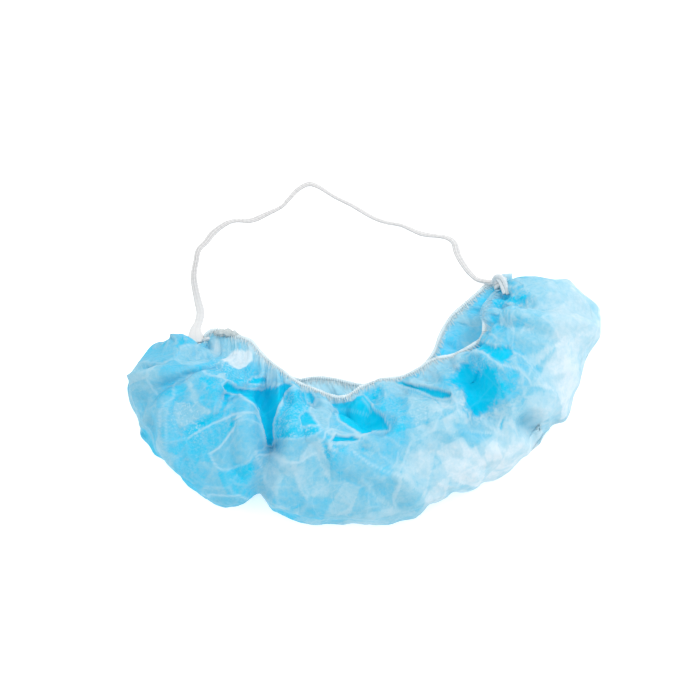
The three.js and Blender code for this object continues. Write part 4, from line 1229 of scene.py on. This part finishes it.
def net_cloth_material():
    """Sheer light blue spunbond: panels, creases with painted highlights, pockets of painted shade, painted
    light and shade spots, clumps of fibre and frayed edges.
    """
    n = Nodes("net_cloth")
    warp = n.warped(*WARP)
    wisps = n.noise(*WISPS, warp)
    fibres = n.noise(*FIBRES)
    fold_line, fold_cell = n.crumples(warp, *FOLDED_CELLS)
    fine_line, fine_cell = n.crumples(warp, *FINE_CELLS)
    crease_line_mask = n.attribute("crease_line_mask")
    ragged = n.ranged(n.attribute("frayed"), 0, 1, *RAGGED_TONE)
    plain = n.attribute("tone")
    tone = n.math("MULTIPLY", n.ranged(wisps, *WISP_SPAN, -1, 1), ragged)
    tone = n.math("MULTIPLY", tone, n.ranged(plain, *PLAIN_SPAN))
    tone = n.math("ADD", plain, tone)
    tone = n.math("ADD", tone, n.ranged(fold_cell, 0, 1, -FOLDED_TONE, FOLDED_TONE))
    tone = n.math("ADD", tone, n.ranged(fine_cell, 0, 1, -FINE_TONE, FINE_TONE))
    colour = n.ramp(tone, CLOTH_COLOURS)
    # Painted shade greys the cloth and painted light washes it pale
    colour = n.mix(n.math("MULTIPLY", n.attribute("painted_shade"), PAINTED_SHADE_SHARE), colour, CLOTH_PAINTED_SHADE)
    colour = n.mix(n.math("MULTIPLY", n.attribute("painted_light"), 1.0, True), colour, CLOTH_PAINTED_LIGHT)
    # Pale lines of painted highlight along the crumples, creases, ridges and lips
    lines = n.math("MULTIPLY", fold_line, n.ranged(crease_line_mask, *FOLDED_LINE_MASK, 0, FOLDED_LINES))
    fine = n.math("MULTIPLY", fine_line, n.ranged(crease_line_mask, *FINE_LINE_MASK, 0, FINE_LINES))
    lines = n.math("MAXIMUM", lines, fine)
    lines = n.math("MULTIPLY", lines, n.ranged(tone, *LINE_TONES))
    lines = n.math("MAXIMUM", lines, n.math("MULTIPLY", n.attribute("crease"), CREASE_SHARE))
    colour = n.mix(lines, colour, CLOTH_FIBRE_AND_HIGHLIGHT)
    flecks = n.ranged(fibres, *FLECK_SPAN)
    flecks = n.math("MULTIPLY", flecks, n.ranged(n.attribute("clumped"), 0, 1, *FLECK_SHARES))
    flecks = n.math("MULTIPLY", flecks, n.ranged(tone, *FLECK_TONES))
    colour = n.mix(flecks, colour, CLOTH_FIBRE_AND_HIGHLIGHT)
    frayed = n.ranged(fibres, *FRAYED_SPAN, *EDGE_SHARES)
    frayed = n.math("MULTIPLY", n.attribute("edge"), frayed, True)
    colour = n.mix(frayed, colour, CLOTH_EDGE)
    normal = n.bump(n.math("ADD", fibres, wisps), *CLOTH_BUMP)
    face = n.surface(colour, CLOTH_ROUGHNESS, normal, {"Specular IOR Level": CLOTH_GLOSS})
    through = n.add("ShaderNodeBsdfTranslucent", {"Color": colour, "Normal": normal}).outputs[0]
    return n.show(n.add("ShaderNodeMixShader", {0: CLOTH_TRANSLUCENT, 1: face, 2: through}).outputs[0])


def thread_material(name, light, groove):
    """White elastic or thread: its own white on its ribs, with painted shade greying the grooves between
    them.
    """
    n = Nodes(name)
    uneven = n.ranged(n.noise(THREAD_SCALE), *THREAD_UNEVEN)
    colour = n.mix(n.math("MULTIPLY", n.attribute("groove"), uneven, True), light, groove)
    colour = n.mix(n.attribute("sunk"), colour, CLOTH_OVER)
    normal = n.bump(n.noise(THREAD_FUZZ_SCALE), *THREAD_BUMP)
    sheen, sheen_roughness = THREAD_SHEEN
    return n.show(n.surface(colour, THREAD_ROUGHNESS, normal, {
        "Specular IOR Level": THREAD_GLOSS,
        "Sheen Weight": sheen,
        "Sheen Roughness": sheen_roughness,
    }))


net_cloth = net_cloth_material()
rim_thread = thread_material("rim_thread", *RIM_COLOURS)
white_elastic = thread_material("white_elastic", *ELASTIC_COLOURS)
frayed_thread = thread_material("frayed_thread", *FRAYED_COLOURS)

# Cords

BAND_SIDES = 40
BAND_WALES = 8
BAND_STEP = 0.4

# The route over the floor from the left knot to the right one
BAND_ROUTE = (
    (-91.6, 31.1), (-92.3, 35.4), (-92.3, 40.2), (-90.8, 44.4), (-89.8, 50.5), (-91.2, 57.0),
    (-93.5, 70.7), (-92.3, 79.5), (-90.8, 86.6), (-86.8, 91.0), (-83.4, 95.9), (-79.2, 99.5),
    (-75.0, 102.1), (-69.9, 103.4), (-62.4, 103.4), (-53.1, 107.4), (-44.7, 111.8), (-41.3, 115.8),
    (-37.1, 120.7), (-33.7, 123.3), (-29.9, 124.8), (-25.3, 123.3), (-16.1, 117.2), (-7.0, 112.5),
    (6.7, 104.3), (13.6, 102.0), (20.5, 100.6), (32.2, 95.7), (40.1, 94.4), (46.0, 93.4),
    (49.9, 90.8), (51.9, 84.1), (54.8, 78.4), (58.8, 72.7), (62.7, 69.2), (67.8, 67.9), (71.2, 67.5),
)
# Along the band, by shares of its route: how far it is lifted where it comes off the left knot, how
# many degrees it is turned on edge, its width and thickness, and how deep its knit shows, which is
# pulled smooth beside the left knot
BAND_LIFTS = ((0.00, 5.2), (0.017, 3.8), (0.037, 1.4), (0.055, 0.2), (0.075, 0), (1, 0))
BAND_TURNS = (
    (0.00, 0), (0.07, 5), (0.12, 35), (0.20, 50), (0.27, 35), (0.33, 55), (0.38, 40), (0.44, 60),
    (0.52, 45), (0.57, 62), (0.66, 55), (0.74, 62), (0.79, 45), (0.83, 55), (0.88, 35), (0.94, 45),
    (1.00, 60),
)
BAND_WIDTHS = (
    (0.000, 7.5), (0.005, 9.2), (0.015, 9.2), (0.028, 7.0), (0.048, 4.7), (0.08, 4.7), (0.16, 4.6),
    (0.30, 5.0), (0.55, 4.8), (0.75, 4.9), (1.00, 4.6),
)
BAND_BODIES = ((0.00, 1.6), (0.10, 1.4), (0.20, 1.9), (0.55, 1.9), (0.90, 2.0), (1.00, 2.6))
BAND_KNITS = ((0.00, 0.05), (0.10, 0.10), (0.16, 0.35), (1.00, 0.35))
KNIT_DEPTH = 0.35
KNIT_PITCH = 2.2
KNIT_FLOOR = 0.30
KNIT_TOP = 1.1


def curve_through(points, step):
    """Points about a step apart on a smooth curve through others."""
    points = np.asarray(points, float)
    ends = [2 * points[0] - points[1], *points, 2 * points[-1] - points[-2]]
    made = []
    for a, b, c, d in zip(ends, ends[1:], ends[2:], ends[3:]):
        ka, kb, kc = (max(np.linalg.norm(q - p), 1e-6) ** 0.5 for p, q in ((a, b), (b, c), (c, d)))
        out = ((b - a) / ka - (c - a) / (ka + kb) + (c - b) / kb) * kb
        back = ((c - b) / kb - (d - b) / (kb + kc) + (d - c) / kc) * kb
        count = max(int(np.linalg.norm(c - b) / step * 4), 4)
        t = np.arange(count)[:, None] / count
        made.append(
            (2 * t ** 3 - 3 * t ** 2 + 1) * b + (t ** 3 - 2 * t ** 2 + t) * out
            + (3 * t ** 2 - 2 * t ** 3) * c + (t ** 3 - t ** 2) * back
        )
    line = np.concatenate([*made, points[-1:]])
    run = length_along(line)
    even = np.linspace(0, run[-1], max(int(run[-1] / step), 4) + 1)
    return np.stack([np.interp(even, run, line[:, k]) for k in range(3)], -1), even


def knit(along, around, wales):
    """The relief of a knitted cord, from 0 in its grooves to 1: chevrons in columns round it."""
    across = np.abs(((around * wales) % 1) - 0.5) * 2
    chevron = np.abs(((along / KNIT_PITCH + 0.5 * across) % 1) - 0.5) * 2
    rise = np.sqrt(np.clip(1 - chevron ** 2, 0, 1))
    return np.clip(KNIT_TOP - across ** 3, 0, 1) * (KNIT_FLOOR + (1 - KNIT_FLOOR) * rise)


def length_along(line):
    """How far along a line each of its points lies."""
    return np.concatenate([[0], np.cumsum(np.linalg.norm(np.diff(line, axis=0), axis=1))])


def unit(vectors):
    """Vectors brought to a length of one."""
    return vectors / np.maximum(np.linalg.norm(vectors, axis=-1, keepdims=True), 1e-6)


def frame_along(line):
    """The heading of a line at its points, and the ways to its side and over it."""
    heading = unit(np.gradient(line, axis=0))
    side = unit(np.cross(heading, [0, 0, 1]))
    return heading, side, np.cross(side, heading)


def placed(piece, node):
    """A piece that stands for a node of the solids and rides on the one body."""
    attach(piece, "root")
    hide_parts(node)


def ribbon(name, line, run, turns, width, body, material, sides, wales, relief):
    """A knitted cord of oval section along a line in millimetres, turned by degrees about it."""
    _, side, over = frame_along(line)
    turn = np.radians(turns)[:, None]
    wide = side * np.cos(turn) + over * np.sin(turn)
    thick = over * np.cos(turn) - side * np.sin(turn)
    around = np.arange(sides) / sides
    angle = 2 * math.pi * around
    rib = knit(run[:, None], around[None], wales)
    relief = np.broadcast_to(relief, run.shape)[:, None]
    grow = relief * (rib - 1)
    x = np.cos(angle)[None] * (np.broadcast_to(width, run.shape)[:, None] / 2 + grow)
    y = np.sin(angle)[None] * (np.broadcast_to(body, run.shape)[:, None] / 2 + grow)
    points = line[:, None] + wide[:, None] * x[..., None] + thick[:, None] * y[..., None]
    obj = mesh_of(name, points * MM, grid_faces(len(line), sides, ring=True)[:, ::-1], material)
    # Painted shade darkens the knit's grooves
    give_attribute(obj, "groove", (1 - rib) * relief / KNIT_DEPTH)
    return obj


def closed_ends(obj, sides):
    """Fans over the two open ends of a tube."""
    mesh = bmesh.new()
    mesh.from_mesh(obj.data)
    bmesh.ops.holes_fill(mesh, edges=[e for e in mesh.edges if e.is_boundary], sides=sides)
    mesh.to_mesh(obj.data)
    mesh.free()


# A coarser grid of the cloth as the solids have it: its middle tells how far they lie from the origin
CAD_GRID = (85, 28)
cad_sheet, _, _ = folded_sheet(*CAD_GRID)
cad_skin = np.concatenate([cad_sheet + side * grid_normals(cad_sheet) * CLOTH / 2 for side in (1, -1)])
own_middle = (cad_skin.reshape(-1, 3).min(0) + cad_skin.reshape(-1, 3).max(0)) / 2
low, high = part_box("net_pouch")
SHIFT = np.array([*((low + high) / 2 / MM)[:2], 0]) - np.array([*own_middle[:2], 0])

route, route_run = curve_through([(x, y, 0) for x, y in BAND_ROUTE], BAND_STEP)
route += SHIFT
share = route_run / route_run[-1]
band_turn, band_width, band_body, band_lift, band_knit = (
    np.interp(share, *np.array(table).T)
    for table in (BAND_TURNS, BAND_WIDTHS, BAND_BODIES, BAND_LIFTS, BAND_KNITS)
)
route[:, 2] = np.hypot(
    np.sin(np.radians(band_turn)) * band_width / 2, np.cos(np.radians(band_turn)) * band_body / 2
)
route[:, 2] += band_lift
head_elastic = ribbon(
    "head_band", route, route_run, band_turn, band_width, band_body, white_elastic, BAND_SIDES,
    BAND_WALES, band_knit,
)
closed_ends(head_elastic, BAND_SIDES)
placed(head_elastic, "head_elastic")

# The cloth

sheet_points, sheet_tints = dressed_sheet()
sheet_points = sheet_points + SHIFT
net = mesh_of("net_cloth", sheet_points * MM, grid_faces(SHEET_COLUMNS, SHEET_ROWS), net_cloth)
for tint, amount in sheet_tints.items():
    give_attribute(net, tint, amount)
placed(net, "net_pouch")

# The overlocked rim

RIM_RADIUS = 1.1
RIM_SIDES = 12
STITCH = 1.25
TOOTH = 2.6
TOOTH_RADIUS = 0.27
RIM_ENDS = 0.024
RIM_STEP = 0.35
RIM_OUT = 0.4
RIM_CLEAR = 0.1
LUMP_RUNS = (1.9, 5.3, 3.1)
# The rim's stitch ribs and its uneven lumps, as shares of its radius
RIM_RIBS = 0.22
RIM_LUMPS = 0.22
# The back and the front rim: the cloth's edge row, a row a little inside it, and a seed
RIMS = ((0, 2, 5), (-1, -3, 6))
# The stitch threads: how many sides, how far they reach and lean, and how they thin to their ends
THREAD_SIDES = 4
TOOTH_SHARES = (0.3, 1.4)
TOOTH_LEAN = 1.1
TOOTH_THINNING = (1, 1, 1, 0.9, 0.35)
# A thread's course: inwards by shares of the bead and of its reach, up by the bead, along by its lean
TOOTH_COURSE = (
    (-0.9, 0, 0.1, 0), (-0.4, 0, 0.85, 0), (0.5, 0, 0.85, 0), (1, 0.4, 0.35, 0.4), (1, 1, 0.15, 1),
)
THREAD_LOWEST = 0.05
# The front rim is sunk in the cloth from the right knot down to here, in the photograph's pixels
SUNK_FROM = (476, 326)
SUNK_SETTING = 8
SUNK_SHARE = 0.75


def rim_line(row, beside):
    """The line of the elastic just outside one edge of the cloth, and the way into the cloth."""
    first, last = int(RIM_ENDS * SHEET_COLUMNS), int((1 - RIM_ENDS) * SHEET_COLUMNS)
    edge, inner = sheet_points[first:last, row], sheet_points[first:last, beside]
    way = unit(inner - edge)
    line = edge - way * RIM_OUT * RIM_RADIUS
    line[:, 2] = np.maximum(line[:, 2], RIM_RADIUS + RIM_CLEAR)
    return line, way


def sunk_share(points):
    """How far the front rim is covered by cloth at points of it in millimetres."""
    x, y = np.moveaxis(in_photo(points - SHIFT), -1, 0)
    return SUNK_SHARE * eased((SUNK_FROM[1] - y) / SUNK_SETTING) * (x > SUNK_FROM[0])


def rim_tube(line, front):
    """One edge's elastic under its stitches, with the ribs that they press into it."""
    even, run = curve_through(line[::2], RIM_STEP)
    _, side, over = frame_along(even)
    angle = 2 * math.pi * np.arange(RIM_SIDES) / RIM_SIDES
    rib = np.abs(np.sin(math.pi * (run[:, None] / STITCH + angle[None] / (2 * math.pi))))
    a, b, c = LUMP_RUNS
    lumps = 1 + RIM_LUMPS * np.sin(run / a + 2 * np.sin(run / b)) * np.sin(run / c + 1)
    radius = RIM_RADIUS * (1 - RIM_RIBS + RIM_RIBS * rib)
    radius = radius * (lumps * (1 - front * sunk_share(even)))[:, None]
    ring = side[:, None] * np.cos(angle)[None, :, None] + over[:, None] * np.sin(angle)[None, :, None]
    points = even[:, None] + ring * radius[..., None]
    return points.reshape(-1, 3), grid_faces(len(even), RIM_SIDES, ring=True)[:, ::-1], 1 - rib.ravel()


def stitch_threads(line, way, seed):
    """The overlock's threads, each from over the elastic into the cloth as a ragged tooth."""
    dice = np.random.default_rng(seed)
    run = length_along(line)
    places = np.arange(STITCH, run[-1] - STITCH, STITCH)
    middle = np.stack([np.interp(places, run, line[:, k]) for k in range(3)], -1)
    inward = np.stack([np.interp(places, run, way[:, k]) for k in range(3)], -1)
    along = unit(np.gradient(middle, axis=0))
    up = np.cross(along, inward)
    up *= np.sign(up[:, 2:])
    reach = TOOTH * dice.uniform(*TOOTH_SHARES, (len(places), 1))
    lean = dice.uniform(-TOOTH_LEAN, TOOTH_LEAN, (len(places), 1))
    bead = RIM_RADIUS + 0.5 * TOOTH_RADIUS
    stations = [
        middle + inward * (bead * beads + reach * reaches) + up * bead * rise + along * lean * aside
        for beads, reaches, rise, aside in TOOTH_COURSE
    ]
    path = np.stack(stations, 1)
    heading = unit(np.gradient(path, axis=1))
    a = unit(np.cross(heading, along[:, None]))
    b = np.cross(heading, a)
    thin = np.array(TOOTH_THINNING) * TOOTH_RADIUS
    rings = [
        path + (a * math.cos(t) + b * math.sin(t)) * thin[None, :, None]
        for t in 2 * math.pi * np.arange(THREAD_SIDES) / THREAD_SIDES
    ]
    points = np.stack(rings, 2)
    one = grid_faces(len(stations), THREAD_SIDES, ring=True)
    first = np.arange(len(places)) * len(stations) * THREAD_SIDES
    return points.reshape(-1, 3), (one[None] + first[:, None, None]).reshape(-1, 4)


parts, count = [], 0
for front, (row, beside, seed) in enumerate(RIMS):
    line, way = rim_line(row, beside)
    tube, tube_faces, groove = rim_tube(line, front)
    threads, thread_faces = stitch_threads(line, way, seed)
    parts.append((tube, tube_faces + count, groove, front * sunk_share(tube)))
    count += len(tube)
    parts.append((threads, thread_faces + count, np.zeros(len(threads)), front * sunk_share(threads)))
    count += len(threads)
rim_points = np.concatenate([part[0] for part in parts])
rim_points[:, 2] = np.maximum(rim_points[:, 2], THREAD_LOWEST)
rim_faces = np.concatenate([part[1] for part in parts])
rim = mesh_of("rim_stitching", rim_points * MM, rim_faces, rim_thread)
# Painted shade darkens the grooves between the stitch ribs
give_attribute(rim, "groove", np.concatenate([part[2] for part in parts]))
give_attribute(rim, "sunk", np.concatenate([part[3] for part in parts]))
placed(rim, "rim_elastic")

# Knots

KNOT_SIDES = 24
KNOT_WALES = 5
KNOT_RELIEF = 0.25
KNOT_STEP = 0.3
KNOT_FLATNESS = 0.85
TURN_STEPS = 12

# The frayed tail: its widest place, its shape, and its hairs' number, lengths, spread and radius
TAIL_WIDTH = 5.0
TAIL_SIDES = 20
TAIL_WALES = 6
TAIL_RELIEF = 0.4
TAIL_STEP = 0.4
TAIL_TURN = (40, 3)
TAIL_NARROW = 0.55
TAIL_SKEW = 0.8
TAIL_LUMPS = (0.18, 1.7)
TAIL_FLATNESS = 0.8
TAIL_SEED = 31
HAIRS = 260
HAIR_LENGTHS = (0.4, 1.5)
HAIR_SPREAD = 0.5
HAIR_RADIUS = 0.11
HAIR_ROOT = 0.36

# The knots' cords, each with a height, then places in the photograph's pixels and what they rise
# above that height; and turns round a neck: how many, their pitch, radius and skew
LEFT_LEAD = (4.4, (197, 339, 0), (201, 340, 0.4))
LEFT_TURNS = (1.25, 1.6, 2.5, 0.5)
TAIL = (
    10.0, (215, 334, -3), (219, 333, -1), (224, 332.5, 0.5), (230, 333, 0.8), (235, 334.5, 0.4),
    (240, 337.5, -1),
)
RIGHT_LOOP = (
    (2.2, (485, 282.5, 0), (490, 283, 0.5), (493.5, 282, 2), (494.5, 279, 4.5)),
    (8.8, (496.5, 276.5, 0), (500, 276.5, 1), (503.5, 280, 1.6), (505.8, 285, 1.8)),
    (10.6, (507.4, 290, 0.2), (508.4, 294.5, 0.4)),
)
RIGHT_END = (
    (8.2, (495, 281, -2), (497.3, 278.5, 0), (499.8, 281, 1), (501.8, 285.5, 1.6)),
    (9.8, (503.4, 290, 0.4), (504.8, 294, 0.8)),
)
RIGHT_TURNS = (1.75, 2.6, 2.7, 0.8)
LEFT_CORD = 2.2
RIGHT_CORD = 2.8
END_CORD = 2.4
# How far the knots take on the cloth's colour
KNOT_TINT = 0.14


def knot(name, node, points, cord):
    """A knotted end of the head elastic."""
    line, run = curve_through(np.array(points) + SHIFT, KNOT_STEP)
    line[:, 2] = np.maximum(line[:, 2], cord / 2)
    obj = ribbon(
        name, line, run, np.zeros(len(run)), cord, KNOT_FLATNESS * cord, white_elastic, KNOT_SIDES,
        KNOT_WALES, KNOT_RELIEF,
    )
    closed_ends(obj, KNOT_SIDES)
    give_attribute(obj, "sunk", np.full(len(obj.data.vertices), KNOT_TINT))
    placed(obj, node)


def wound(neck, turns, pitch, radius, tilt):
    """Turns about a neck's axis, which lies along Y, from under it; tilt skews them along it."""
    x, y = neck[:2]
    steps = int(TURN_STEPS * turns)
    made = []
    for k in range(steps + 1):
        angle = 2 * math.pi * turns * k / steps - math.pi / 2
        along = pitch * turns * (0.5 - k / steps) + tilt * math.cos(angle)
        made.append((x + radius * math.cos(angle), y + along, NECK_HEIGHT + radius * math.sin(angle)))
    return made


def frayed_end(name, node, points):
    """A loose frayed end of overlock thread: a lumpy body with fine hairs all over it."""
    line, run = curve_through(np.array(points) + SHIFT, TAIL_STEP)
    share = run / run[-1]
    dice = np.random.default_rng(TAIL_SEED)
    (lump, lumpiness), (turn, turn_run) = TAIL_LUMPS, TAIL_TURN
    swell = TAIL_NARROW + (1 - TAIL_NARROW) * np.sin(math.pi * share ** TAIL_SKEW)
    width = TAIL_WIDTH * swell * (1 + lump * np.sin(run * lumpiness))
    line[:, 2] = np.maximum(line[:, 2], width / 2)
    obj = ribbon(
        name, line, run, turn * np.sin(run / turn_run), width, TAIL_FLATNESS * width, frayed_thread,
        TAIL_SIDES, TAIL_WALES, TAIL_RELIEF,
    )
    closed_ends(obj, TAIL_SIDES)
    at = dice.integers(0, len(line), HAIRS)
    way = unit(dice.normal(0, 1, (HAIRS, 3)))
    root = line[at] + way * width[at, None] * HAIR_ROOT
    tip = root + way * dice.uniform(*HAIR_LENGTHS, (HAIRS, 1)) + dice.normal(0, HAIR_SPREAD, (HAIRS, 3))
    thin = unit(np.cross(way, dice.normal(0, 1, (HAIRS, 3)))) * HAIR_RADIUS
    third = np.cross(way, thin)
    corners = np.stack([root + thin, root - 0.5 * thin + third, root - 0.5 * thin - third, tip], 1)
    corners[..., 2] = np.maximum(corners[..., 2], THREAD_LOWEST)
    faces = np.array([(0, 1, 3), (1, 2, 3), (2, 0, 3)])[None] + 4 * np.arange(HAIRS)[:, None, None]
    hairs = mesh_of(name + "_hairs", corners * MM, faces.reshape(-1, 3), frayed_thread)
    give_attribute(hairs, "groove", np.zeros(4 * HAIRS))
    for piece in (obj, hairs):
        placed(piece, node)


def photo_lines(*lines):
    """Points at heights over a common one for each line, which show at pixels of the photograph."""
    return [tuple(from_photo(x, y, height + more)) for height, *places in lines for x, y, more in places]


knot("knot_left", "tie_left", photo_lines(LEFT_LEAD) + wound(LEFT_NECK, *LEFT_TURNS), LEFT_CORD)
frayed_end("frayed_tail", "tie_left", photo_lines(TAIL))
knot("knot_right", "tie_right", photo_lines(*RIGHT_LOOP), RIGHT_CORD)
knot("knot_right_end", "tie_right", photo_lines(*RIGHT_END), END_CORD)
knot("knot_right_turns", "tie_right", wound(RIGHT_NECK, *RIGHT_TURNS), END_CORD)

# Floor and light

FLOOR_SIZE = 6
FLOOR_COLOURS = ((0.92, 0.92, 0.92), (0.85, 0.86, 0.88))
FLOOR_MOTTLE = 0.02
FLOOR_SCALE = 3
FLOOR_ROUGHNESS = 0.9
FLOOR_GLOW = 0.4
WHITE = (1, 1, 1, 1)
# Lamps: where they stand, how large they are and their power in watts
KEY_LAMP = ((0.9, 0.7, 1.4), 0.9, 16)
FILL_LAMP = ((-1.2, -0.6, 1.5), 1.2, 6)
STUDIO_LIGHT = 1.0

floor_nodes = Nodes("floor")
mottle = floor_nodes.math("MULTIPLY", floor_nodes.noise(FLOOR_SCALE), FLOOR_MOTTLE)
floor_material = floor_nodes.show(floor_nodes.surface(
    floor_nodes.mix(mottle, *FLOOR_COLOURS), FLOOR_ROUGHNESS, None,
    {"Emission Color": WHITE, "Emission Strength": FLOOR_GLOW},
))
half = FLOOR_SIZE / 2
floor = mesh_of(
    "floor", [(-half, -half, 0), (half, -half, 0), (half, half, 0), (-half, half, 0)], [(0, 1, 2, 3)],
    floor_material,
)


def soft_light(name, place, size, power):
    """A large square lamp that faces the net."""
    data = bpy.data.lights.new(name, "AREA")
    data.size = size
    data.energy = power
    lamp = bpy.data.objects.new(name, data)
    lamp.location = place
    lamp.rotation_euler = Vector(place).to_track_quat("Z", "Y").to_euler()
    bpy.context.scene.collection.objects.link(lamp)


soft_light("key", *KEY_LAMP)
soft_light("fill", *FILL_LAMP)
world = bpy.data.worlds.new("studio")
world.use_nodes = True
background = world.node_tree.nodes["Background"]
background.inputs["Color"].default_value = WHITE
background.inputs["Strength"].default_value = STUDIO_LIGHT
bpy.context.scene.world = world
bpy.context.scene.view_settings.view_transform = "Standard"
